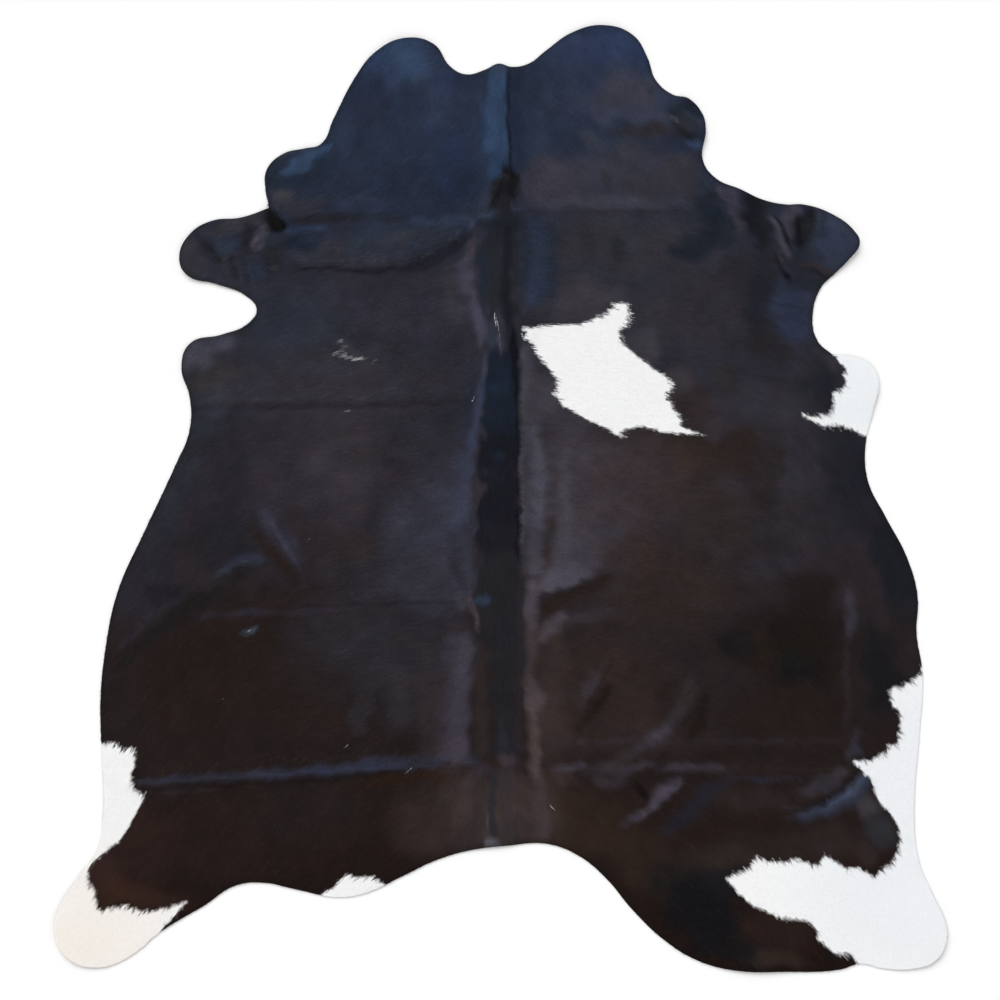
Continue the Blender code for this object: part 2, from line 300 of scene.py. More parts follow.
# Finer creases than the solid has.
CREASES = (
    Fold("sharp spine of the neck", 0.018, 1.049, 0.020, 0.785, 0.0075, 0.010, 0.048),
    Fold("neck triangle, left side", 0.011, 0.794, -0.032, 0.684, 0.0050, 0.022, 0.010),
    Fold("neck triangle, right side", 0.013, 0.794, 0.049, 0.684, 0.0050, 0.010, 0.022),
    Fold("shoulder fold, left crest", -0.481, 0.684, -0.241, 0.682, 0.0040, 0.019, 0.008),
    Fold("shoulder fold, middle crest", -0.109, 0.670, 0.013, 0.686, 0.0050, 0.014, 0.010),
    Fold("shoulder fold, right crest", 0.013, 0.694, 0.071, 0.698, 0.0040, 0.014, 0.010),
    Fold("shoulder wrinkle, crest 1", -0.500, 0.566, -0.332, 0.559, 0.0060, 0.029, 0.010),
    Fold("shoulder wrinkle, crest 2", -0.385, 0.559, -0.174, 0.562, 0.0065, 0.029, 0.010),
    Fold("shoulder wrinkle, crest 3", -0.212, 0.554, -0.131, 0.598, 0.0060, 0.024, 0.010),
    Fold("shoulder wrinkle, crest 4", -0.155, 0.578, -0.078, 0.646, 0.0055, 0.019, 0.010),
    Fold("left shank, roll crest", -0.568, 0.646, -0.604, 0.583, 0.0090, 0.010, 0.022),
    Fold("left shank, inner crest", -0.731, 0.622, -0.659, 0.554, 0.0050, 0.019, 0.012),
    Fold("left shank, wrinkle 1", -0.664, 0.588, -0.644, 0.506, 0.0030, 0.007, 0.007),
    Fold("left shank, wrinkle 2", -0.637, 0.588, -0.616, 0.511, 0.0030, 0.007, 0.007),
    Fold("left shank, wrinkle 3", -0.608, 0.574, -0.587, 0.502, 0.0025, 0.007, 0.007),
    Fold("left cheek lap, crest 1", -0.553, 0.718, -0.520, 0.670, 0.0090, 0.043, 0.007),
    Fold("left cheek lap, crest 2", -0.529, 0.698, -0.508, 0.622, 0.0090, 0.043, 0.007),
    Fold("right cheek, crest", 0.431, 0.986, 0.484, 0.914, 0.0060, 0.010, 0.022),
    Fold("right cheek, low crest", 0.431, 0.876, 0.488, 0.838, 0.0050, 0.012, 0.017),
    Fold("right shank, strip crest", 0.512, 0.756, 0.589, 0.626, 0.0070, 0.022, 0.017),
    Fold("right shank, crest 1", 0.652, 0.679, 0.690, 0.574, 0.0060, 0.007, 0.017),
    Fold("right shank, crest 2", 0.652, 0.607, 0.683, 0.535, 0.0050, 0.007, 0.012),
    Fold("right shank, pocket, near rim", 0.702, 0.708, 0.712, 0.583, 0.0070, 0.012, 0.012),
    Fold("right shank, pocket, far rim", 0.764, 0.703, 0.760, 0.588, 0.0080, 0.022, 0.010),
    Fold("rib fold, left", -0.750, 0.228, -0.044, 0.233, 0.0022, 0.017, 0.012),
    Fold("flank dent, near crest", -0.553, -0.050, -0.467, -0.194, 0.0060, 0.022, 0.014),
    Fold("flank dent, pale crest", -0.644, -0.170, -0.563, -0.137, 0.0060, 0.012, 0.017),
    Fold("belly arc, crest 1", -0.952, -0.367, -0.841, -0.281, 0.0040, 0.034, 0.012),
    Fold("belly arc, crest 2", -0.875, -0.302, -0.630, -0.204, 0.0040, 0.034, 0.012),
    Fold("loin fold, left", -0.937, -0.264, -0.481, -0.252, 0.0024, 0.014, 0.010),
    Fold("loin fold, left, near the spine", -0.529, -0.254, -0.020, -0.240, 0.0030, 0.014, 0.010),
    Fold("loin dent, right", 0.076, -0.233, 0.239, -0.202, 0.0040, 0.019, 0.014),
    Fold("hip wrinkle 1", 0.258, -0.382, 0.181, -0.530, 0.0045, 0.012, 0.019),
    Fold("hip wrinkle 2", 0.493, -0.439, 0.359, -0.636, 0.0045, 0.017, 0.022),
    Fold("rump fold, left crest 1", -0.899, -0.682, -0.577, -0.660, 0.0080, 0.014, 0.022),
    Fold("rump fold, left crest 2", -0.649, -0.665, -0.313, -0.643, 0.0080, 0.014, 0.022),
    Fold("rump fold, left crest 3", -0.385, -0.648, -0.035, -0.629, 0.0080, 0.014, 0.022),
    Fold("rump fold, left second crest", -0.865, -0.708, -0.558, -0.686, 0.0040, 0.010, 0.010),
    Fold("rump fold, right crest 1", 0.032, -0.648, 0.359, -0.641, 0.0060, 0.017, 0.019),
    Fold("rump fold, right crest 2", 0.287, -0.643, 0.868, -0.660, 0.0060, 0.017, 0.019),
    Fold("rump diagonal, crest", 0.311, -0.799, 0.460, -0.665, 0.0070, 0.019, 0.014),
    Fold("thigh crease, crest 1", 0.661, -0.746, 0.776, -0.751, 0.0080, 0.010, 0.034),
    Fold("thigh crease, crest 2", 0.748, -0.756, 0.839, -0.698, 0.0080, 0.010, 0.034),
    Fold("thigh crease, crest 3", 0.810, -0.722, 0.896, -0.646, 0.0080, 0.010, 0.038),
    Fold("spine band, right step", 0.049, 0.418, 0.052, -0.674, 0.0046, 0.038, 0.006),
    Fold("spine band, left roll", -0.052, 0.622, -0.040, -0.290, 0.0052, 0.014, 0.029),
)

# The ends of the lobes and legs curl up off the floor a little.
LIFTS = (
    Lift("left neck lobe", -0.240, 1.110, 0.170, 0.010),
    Lift("right neck lobe", 0.250, 1.140, 0.180, 0.008),
    Lift("left shank", -0.780, 0.580, 0.120, 0.010),
    Lift("right shank", 0.870, 0.615, 0.140, 0.012),
    Lift("right cheek", 0.500, 0.890, 0.090, 0.006),
    Lift("left fore flap", -0.775, 0.315, 0.110, 0.007),
    Lift("right fore flap", 0.915, 0.280, 0.130, 0.006),
    Lift("left hind foot", -1.080, -1.060, 0.190, 0.010),
    Lift("right hind foot", 1.080, -1.060, 0.190, 0.008),
    Lift("right thigh", 0.620, -1.150, 0.130, 0.006),
)

# The hide isn't equally thick all over, so its hair side swells and sinks a little.
WAVES = (
    Wave(0.310, 20.0, 0.4, 0.00035),
    Wave(0.230, 75.0, 1.9, 0.00030),
    Wave(0.165, 140.0, 3.1, 0.00022),
    Wave(0.120, 100.0, 5.2, 0.00016),
    Wave(0.085, 35.0, 2.3, 0.00011),
)

# The edge of the sheet, from the flesh side over the cut to the coat: how far each line lies outside the
# outline, and its height over the underside.
RIM = (
    Rim("flesh side", -0.0004, 0.0000),
    Rim("cut, low", 0.0000, 0.0004),
    Rim("cut, high", -0.0002, 0.0021),
    Rim("hair root", 0.0005, 0.0025),
    Rim("hair swell", 0.0007, 0.0029),
    Rim("hair crown", -0.0009, 0.0033),
    Rim("coat", -0.0040, LEATHER + HAIR_BED),
)
CUT_RIMS = 3  # lines of the rim that are leather

# The hide's finishes, in the order of its slots.
BED_SLOT, CUT_SLOT, FLESH_SLOT = range(3)

# White patches. Those that meet the hide's edge close outside it.
PATCHES = (
    Patch("shoulder", (
        (52, 408), (64, 413), (97, 415), (145, 416), (193, 422), (222, 431),
        (241, 442), (260, 454), (270, 460), (263, 468), (284, 470), (296, 470),
        (308, 474), (304, 463), (310, 449), (310, 425), (301, 413), (287, 403),
        (289, 386), (294, 374), (320, 348), (340, 336), (368, 310), (397, 295),
        (412, 283), (416, 266), (404, 252), (400, 242), (407, 233), (412, 218),
        (431, 199), (438, 187), (428, 180), (448, 168), (481, 155), (455, 157),
        (419, 157), (390, 158), (371, 166), (342, 174), (308, 169), (292, 161),
        (294, 146), (272, 156), (256, 169), (227, 181), (193, 198), (164, 217),
        (140, 226), (143, 238), (126, 253), (136, 271), (126, 300), (107, 319),
        (88, 348), (78, 372), (52, 385), (64, 398))),
    Patch("right fore flap", (
        (798, 353), (811, 329), (827, 314), (832, 307), (823, 300), (824, 288),
        (829, 275), (815, 262), (798, 256), (797, 244), (800, 226), (797, 214),
        (781, 204), (764, 200), (748, 200), (719, 208), (733, 193), (752, 184),
        (760, 178), (774, 174), (803, 176), (824, 173), (846, 166), (863, 156),
        (877, 148), (935, 137), (935, 370), (827, 370))),
    Patch("right hind", (
        (1007, -415), (980, -442), (930, -458), (937, -497), (956, -506),
        (959, -552), (947, -593), (928, -590), (930, -602), (889, -624),
        (841, -629), (865, -650), (889, -674), (906, -727), (928, -746),
        (952, -778), (959, -818), (944, -864), (896, -905), (851, -881),
        (829, -886), (781, -854), (757, -878), (714, -864), (642, -871),
        (611, -854), (596, -883), (541, -907), (565, -943), (606, -977),
        (678, -1008), (738, -1013), (762, -1037), (757, -1054), (808, -1094),
        (841, -1094), (853, -1106), (853, -1166), (1151, -1166), (1151, -386),
        (1019, -386))),
    Patch("left hind", (
        (-952, -586), (-930, -583), (-906, -600), (-875, -598), (-875, -636),
        (-887, -667), (-875, -696), (-853, -713), (-892, -790), (-920, -826),
        (-959, -854), (-983, -876), (-990, -888), (-988, -912), (-971, -941),
        (-968, -972), (-959, -986), (-920, -979), (-894, -974), (-860, -991),
        (-822, -984), (-776, -972), (-750, -965), (-769, -986), (-798, -1018),
        (-817, -1037), (-841, -1178), (-1105, -1178), (-1105, -586))),
    Patch("tail side", (
        (-433, -950), (-416, -938), (-395, -929), (-390, -919), (-376, -905),
        (-354, -898), (-352, -907), (-337, -910), (-325, -902), (-320, -910),
        (-301, -900), (-304, -910), (-289, -919), (-280, -919), (-280, -962),
        (-428, -974))),
)

# The dark coat from neck to tail, as sRGB numbers. The brown towards the rump is the coat's own tone; the
# blue of the neck and shoulders is painted reflection of cool light on the coat.
COAT_SHADES = (
    Shade("neck", 1.14, (34, 43, 64)),
    Shade("shoulders", 0.80, (37, 42, 57)),
    Shade("fore back", 0.52, (41, 41, 50)),
    Shade("back", 0.05, (43, 39, 45)),
    Shade("loin", -0.35, (38, 32, 34)),
    Shade("rump", -0.80, (34, 26, 24)),
    Shade("hind legs", -1.13, (30, 21, 19)),
)

# Soft areas of the dark coat. Besides its own tones they hold painted light: painted sheen and blue
# reflections on the lobes, over the folds and beside the spine, and painted shade in dents and pockets.
AREAS = [Area(*row) for row in (
    ("left neck", -229, 874, 378, 306, (38, 45, 63), 0.75),
    ("left neck, low", -301, 754, 324, 94, (37, 42, 58), 0.7),
    ("left neck, by the spine", -102, 802, 94, 122, (36, 44, 66), 0.7),
    ("left neck lobe, bright", -220, 1054, 86, 79, (52, 67, 93), 0.88, 10),
    ("left neck lobe, left", -304, 1039, 58, 50, (44, 57, 82), 0.75, 45),
    ("left neck lobe, right", -150, 1049, 65, 50, (44, 53, 75), 0.7, -30),
    ("left neck lobe, violet end", -140, 1082, 50, 29, (40, 43, 60), 0.7, -35),
    ("left neck, blotch", -126, 974, 94, 43, (46, 54, 75), 0.75, -15),
    ("left neck, pale wisp", -236, 986, 72, 13, (46, 52, 74), 0.6, 5),
    ("left neck, second blotch", -164, 914, 79, 43, (44, 51, 71), 0.6, 20),
    ("left neck edge", -364, 881, 25, 108, (44, 53, 76), 0.3, -22),
    ("left neck lobe, dark rim", -92, 982, 43, 79, (38, 44, 62), 0.6),
    ("left neck, dim", -299, 929, 108, 94, (38, 43, 60), 0.7),
    # left cheek, tan is a painted highlight, a lighter grey than the coat round it.
    ("left cheek, tan", -524, 730, 40, 32, (59, 58, 64), 0.8, -15),
    ("left cheek, tan low", -467, 708, 72, 29, (44, 45, 57), 0.7),
    ("right neck lobe, blue", 232, 1087, 158, 72, (44, 54, 78), 0.85),
    ("right neck lobe, inner blue", 167, 1044, 94, 58, (43, 50, 73), 0.8, 25),
    ("right neck lobe, outer blue", 316, 1063, 72, 72, (42, 51, 74), 0.8, -50),
    ("right neck, navy", 107, 922, 130, 173, (38, 44, 61), 0.8),
    ("right neck, by the spine", 64, 929, 43, 202, (33, 39, 54), 0.8),
    ("right neck, violet", 205, 958, 101, 86, (43, 47, 66), 0.7, 30),
    ("right neck, pale", 316, 982, 115, 72, (58, 58, 70), 0.8, -15),
    ("right neck, grey", 287, 965, 122, 50, (52, 52, 62), 0.75, 15),
    ("right neck, violet band", 320, 917, 144, 32, (55, 57, 72), 0.8),
    ("right neck, blue band", 359, 850, 122, 25, (41, 44, 57), 0.7, -4),
    ("right neck, mottled grey", 306, 790, 202, 86, (53, 52, 61), 0.75),
    ("right neck, dark spot", 260, 763, 22, 47, (42, 40, 47), 0.8, 8),
    ("right neck, outer brown", 455, 770, 65, 72, (45, 42, 45), 0.7),
    ("right neck, outer pale", 421, 814, 58, 29, (54, 51, 58), 0.6, 30),
    ("right neck, grey violet", 383, 742, 144, 72, (48, 46, 55), 0.7),
    ("beside the neck triangle", 133, 751, 122, 94, (56, 54, 65), 0.85),
    ("over the right fold", 263, 708, 216, 29, (57, 56, 67), 0.75),
    ("right cheek, blue inside", 402, 972, 32, 25, (41, 50, 68), 0.8, -30),
    ("left shoulder", -301, 612, 360, 65, (44, 48, 60), 0.8),
    ("left shoulder, dark blue", -484, 614, 72, 29, (29, 34, 46), 0.85),
    ("left shoulder, brown", -402, 598, 50, 58, (47, 44, 51), 0.5),
    ("left shoulder, tan", -227, 622, 32, 32, (48, 46, 52), 0.5),
    ("left fore back, violet", -241, 478, 288, 122, (46, 43, 52), 0.75),
    ("left fore back, blue", -505, 418, 173, 122, (45, 49, 60), 0.7, 20),
    ("left ribs", -404, 266, 360, 130, (51, 48, 56), 0.8),
    ("left fore edge tip", -707, 358, 94, 50, (64, 63, 75), 0.9, 20),
    ("left fore edge, brown", -692, 286, 108, 47, (53, 50, 53), 0.75, 15),
    ("left fore edge, blue", -702, 233, 86, 36, (46, 49, 57), 0.6),
    ("left fore edge, low", -721, 161, 79, 58, (44, 48, 57), 0.7),
    ("left side, dark", -654, 74, 101, 144, (39, 37, 42), 0.75),
    ("left side, edge", -788, -2, 65, 216, (40, 42, 50), 0.7, -22),
    ("left side, mid", -505, 70, 130, 180, (48, 44, 51), 0.65),
    ("left side, pinkish", -380, 94, 130, 230, (53, 49, 55), 0.75),
    ("left of the spine, high", -145, 166, 144, 101, (43, 42, 50), 0.75),
    ("left loin", -289, -182, 180, 108, (44, 42, 48), 0.6),
    ("left loin, brown", -361, -127, 94, 50, (48, 41, 41), 0.5, 30),
    ("left flank, dark", -654, -103, 122, 115, (34, 33, 38), 0.8),
    ("left flank, brown", -582, -247, 180, 54, (37, 31, 31), 0.8, 8),
    ("left belly, violet", -865, -206, 122, 108, (40, 38, 46), 0.75, 25),
    ("left belly, brown", -697, -406, 324, 202, (36, 28, 25), 0.85, 15),
    ("left belly, edge", -908, -482, 50, 122, (37, 31, 32), 0.7),
    ("left hip, violet", -308, -374, 288, 166, (44, 42, 48), 0.75),
    ("left hip, grey", -246, -511, 58, 86, (46, 43, 49), 0.7, -12),
    ("left hip, dark", -287, -502, 14, 79, (34, 29, 32), 0.6, -14),
    ("left hip, brown", -481, -482, 216, 158, (37, 30, 29), 0.7),
    ("left rump", -685, -806, 396, 166, (37, 28, 27), 0.8),
    ("left rump, outer", -877, -842, 158, 122, (43, 31, 29), 0.75, 30),
    ("left rump, orange", -913, -943, 101, 50, (52, 36, 31), 0.85, -10),
    ("left rump, inner", -145, -775, 158, 122, (50, 41, 41), 0.8),
    ("left rump, middle", -457, -742, 216, 122, (36, 30, 30), 0.7),
    ("under the rump fold, orange", -181, -665, 223, 23, (42, 28, 22), 0.8, 7),
    ("under the rump fold, pale", -774, -703, 122, 13, (42, 37, 41), 0.5, 3),
    ("right fore back", 287, 610, 324, 108, (49, 47, 53), 0.75),
    ("right fore back, dark spot", 287, 607, 22, 43, (36, 38, 44), 0.8),
    ("right fore back, brown", 196, 478, 137, 79, (57, 53, 60), 0.8),
    ("right fore back, low", 455, 454, 216, 122, (48, 45, 51), 0.7),
    ("right fore back, ring", 431, 559, 86, 58, (46, 44, 50), 0.5),
    ("right shoulder, brown", 580, 545, 94, 72, (40, 37, 40), 0.7),
    ("below the right shank", 700, 449, 83, 122, (43, 48, 67), 0.9, -10),
    ("left of that blue", 623, 487, 58, 173, (32, 32, 39), 0.85, -8),
    ("right shank, tip", 805, 624, 83, 90, (47, 52, 69), 0.9, -35),
    ("right shank, under", 726, 516, 72, 36, (33, 35, 42), 0.8),
    ("above the fore flap", 642, 362, 79, 65, (37, 34, 36), 0.75, -20),
    ("right fore flap, dark", 762, 257, 72, 79, (32, 33, 39), 0.85),
    ("right fore flap, tan", 798, 326, 36, 32, (51, 47, 52), 0.7, -50),
    ("right side, grey", 628, 226, 187, 65, (48, 45, 52), 0.75, -8),
    ("right ribs, brown", 455, 228, 65, 94, (48, 38, 36), 0.6, 10),
    ("right ribs, olive", 541, 286, 36, 58, (45, 40, 39), 0.6),
    ("beside the white patch", 73, 286, 14, 25, (48, 41, 46), 0.8),
    ("right ribs, dark brown", 560, 113, 216, 79, (41, 33, 31), 0.88, 4),
    ("right ribs, wide brown", 359, 70, 252, 158, (48, 39, 37), 0.8),
    ("right side, grey violet", 690, 89, 108, 130, (45, 43, 50), 0.75, -10),
    ("right side, low grey", 772, -50, 72, 108, (40, 38, 43), 0.7, -20),
    ("right side, brown", 517, -50, 144, 137, (46, 39, 38), 0.7),
    ("right side, pale streak", 522, -118, 32, 65, (50, 46, 51), 0.5, 20),
    ("right side, low streak", 642, -161, 86, 43, (44, 41, 47), 0.6, 10),
    ("right edge, navy", 892, 55, 43, 122, (30, 33, 42), 0.85, 8),
    ("right edge, low navy", 949, -146, 72, 223, (28, 29, 34), 0.92, 12),
    ("right belly, top", 748, -214, 94, 65, (32, 27, 26), 0.85),
    ("right belly", 719, -350, 187, 166, (27, 23, 21), 0.9),
    ("right belly, left", 604, -353, 86, 94, (33, 27, 25), 0.8),
    ("right belly, low", 695, -518, 216, 94, (34, 27, 25), 0.75),
    ("right flank, dark", 892, -386, 47, 144, (26, 26, 30), 0.85),
    ("right flank, tan", 911, -300, 36, 32, (41, 36, 37), 0.7, 40),
    ("right middle", 383, -218, 252, 151, (45, 37, 35), 0.75),
    ("right loin, grey", 196, 2, 194, 295, (59, 54, 61), 0.92),
    ("right loin, far", 320, 31, 158, 194, (54, 46, 50), 0.75),
    ("right loin, pale", 157, -137, 144, 72, (62, 58, 67), 0.8, 10),
    ("right hip", 239, -458, 238, 194, (47, 38, 36), 0.75),
    ("right hip, pale band", 215, -278, 122, 25, (51, 45, 50), 0.7, 16),
    ("right rump", 335, -574, 288, 58, (45, 37, 37), 0.6),
    ("right rump, low", 191, -775, 194, 108, (45, 34, 30), 0.85, -20),
    ("right rump, mid", 373, -881, 158, 108, (42, 33, 30), 0.8, -35),
    ("right thigh, brown", 618, -722, 122, 50, (46, 38, 38), 0.7),
    ("right thigh, low", 695, -838, 216, 65, (40, 33, 32), 0.75),
    ("right thigh, end", 796, -809, 122, 50, (42, 36, 36), 0.7),
    ("right hind leg, brown", 527, -871, 130, 58, (43, 37, 36), 0.7),
    ("right hind leg, tip", 812, -1087, 50, 32, (26, 22, 22), 0.85),
    ("left shank, tip", -736, 574, 54, 79, (53, 51, 60), 0.85, 25),
    ("left shank, blue", -668, 607, 47, 36, (43, 49, 63), 0.85, -25),
    ("left shank, inner", -582, 545, 50, 32, (40, 45, 59), 0.8, -15),
    ("left shank, top", -668, 648, 65, 25, (52, 50, 56), 0.75, 8),
    ("left neck, by the lit side", -56, 895, 25, 122, (41, 48, 68), 0.7),
    ("left cheek, rim", -548, 758, 18, 36, (35, 41, 50), 0.75),
    ("left cheek, low", -481, 703, 65, 25, (49, 49, 58), 0.65),
    ("left shank, high light", -596, 670, 58, 22, (55, 53, 61), 0.8, 25),
    ("left shank, under the roll", -544, 593, 47, 43, (36, 34, 39), 0.85),
    ("right shank, between", 642, 641, 25, 72, (42, 40, 46), 0.75, -15),
    ("right shank, low blue", 726, 588, 54, 29, (35, 39, 49), 0.85),
    ("right shank, notch in the blue", 760, 629, 36, 25, (35, 40, 53), 0.8, 15),
    ("right cheek, violet pocket", 424, 922, 22, 22, (30, 29, 36), 0.85),
    ("right cheek, brown", 383, 886, 50, 25, (46, 42, 47), 0.7),
    ("right side, grey blue", 676, -79, 72, 122, (40, 37, 41), 0.8, -12),
    ("left hip, brown spot", -92, -295, 32, 40, (44, 37, 40), 0.85),
    ("left rump, lavender", -88, -718, 79, 86, (58, 48, 49), 0.85),
    ("left hip, pale spot", -606, -319, 18, 9, (62, 69, 82), 0.85, 25),
    ("right hip, tan spot", 109, -535, 25, 43, (54, 40, 35), 0.75),
    ("right hip, red spot", 109, -607, 25, 29, (39, 29, 28), 0.8),
    ("right rump, mottle", 268, -653, 79, 29, (50, 45, 52), 0.85),
    ("right rump, dark spot", 335, -698, 36, 18, (23, 19, 18), 0.95, -30),
    ("right rump, pale spot", 203, -576, 18, 8, (62, 54, 54), 0.8),
    ("right thigh, red dark", 628, -605, 108, 22, (35, 28, 29), 0.75),
    ("right thigh, grey", 916, -799, 50, 58, (43, 43, 48), 0.8),
    ("right thigh, pink", 889, -732, 43, 47, (56, 52, 58), 0.8),
    ("right hind leg, dark", 484, -982, 166, 115, (22, 21, 24), 0.96, -40),
    ("right hind leg, dark root", 532, -914, 72, 50, (25, 24, 28), 0.85),
    ("right hind leg, low dark", 565, -1078, 144, 54, (24, 22, 24), 0.9, -8),
    ("right hind leg, dark neck", 392, -914, 50, 72, (29, 26, 26), 0.7, -30),
    ("right hind leg, red", 664, -1039, 122, 79, (39, 29, 27), 0.85, -8),
    ("by the white patch", 114, 252, 50, 79, (62, 58, 66), 0.75),
    ("right loin, low far", 239, -94, 58, 79, (58, 53, 59), 0.7),
    ("left loin sheen", -169, -98, 151, 238, (51, 51, 63), 0.88),
    ("left loin sheen, low", -174, -206, 130, 108, (48, 46, 55), 0.7),
    ("left hip, by the sheen", -160, -511, 58, 194, (50, 44, 48), 0.65),
    ("left hip, second grey", -335, -497, 32, 79, (44, 40, 45), 0.75, -12),
    ("right flank, low navy", 930, -434, 65, 144, (26, 25, 28), 0.85),
    ("right belly, dark spot 1", 560, -343, 65, 54, (27, 25, 27), 0.85),
    ("right belly, dark spot 2", 700, -406, 72, 54, (25, 24, 26), 0.85),
    ("left rump, low edge", -808, -960, 108, 32, (46, 32, 29), 0.8, -14),
    ("tail root", 11, -758, 194, 144, (57, 48, 48), 0.82),
    ("left of the spine, fore", -116, 492, 50, 101, (55, 52, 60), 0.75),
    ("white patch, right side", 340, 365, 58, 65, (58, 56, 63), 0.85),
    ("white patch, right corner", 424, 281, 40, 54, (58, 53, 59), 0.8),
    ("right cheek, shade", 445, 929, 58, 79, (31, 34, 43), 0.94, -25),
    ("right side, dark edge", 836, 74, 79, 223, (31, 31, 37), 0.95, 6),
    ("right side, brown edge", 632, 50, 47, 115, (39, 34, 34), 0.8),
    ("right side, by the flap", 517, 170, 65, 43, (53, 47, 52), 0.75),
    ("right hind leg, red bottom", 666, -1104, 108, 25, (46, 36, 33), 0.8, -4),
    ("right of the spine, hind brown", 119, -458, 65, 252, (52, 43, 43), 0.75),
    ("right middle, brown", 325, -127, 94, 65, (49, 40, 40), 0.8),
    ("left neck, foot of the spine", -73, 751, 65, 47, (32, 38, 53), 0.85),
    ("right shank, by the edge", 642, 710, 50, 43, (32, 34, 41), 0.85),
    ("left ribs, dark end", -217, 300, 72, 58, (42, 40, 47), 0.6),
    ("left neck lobe, far left", -270, 1020, 43, 36, (51, 61, 87), 0.7),
    ("right side, far shoulder", 647, 566, 50, 65, (34, 35, 42), 0.8),
    ("right loin, gap", 114, 122, 22, 50, (51, 48, 52), 0.75),
    ("left belly, by the arc", -798, -238, 65, 43, (33, 31, 36), 0.7, -30),
    ("left rump, by the tail", -121, -751, 36, 43, (50, 37, 35), 0.7),
    ("left rump, orange edge", -961, -886, 50, 58, (52, 37, 35), 0.75),
    ("right neck, grey end", 229, 862, 40, 29, (54, 56, 68), 0.75),
    ("over the left fold", -349, 706, 86, 18, (46, 51, 69), 0.7),
    ("right thigh, end low", 880, -854, 40, 29, (46, 38, 38), 0.8),
    ("right rump, by the tail", 157, -674, 50, 29, (52, 43, 43), 0.7),
    ("tail, brown beside the line", 52, -737, 25, 101, (50, 41, 41), 0.8),
)]
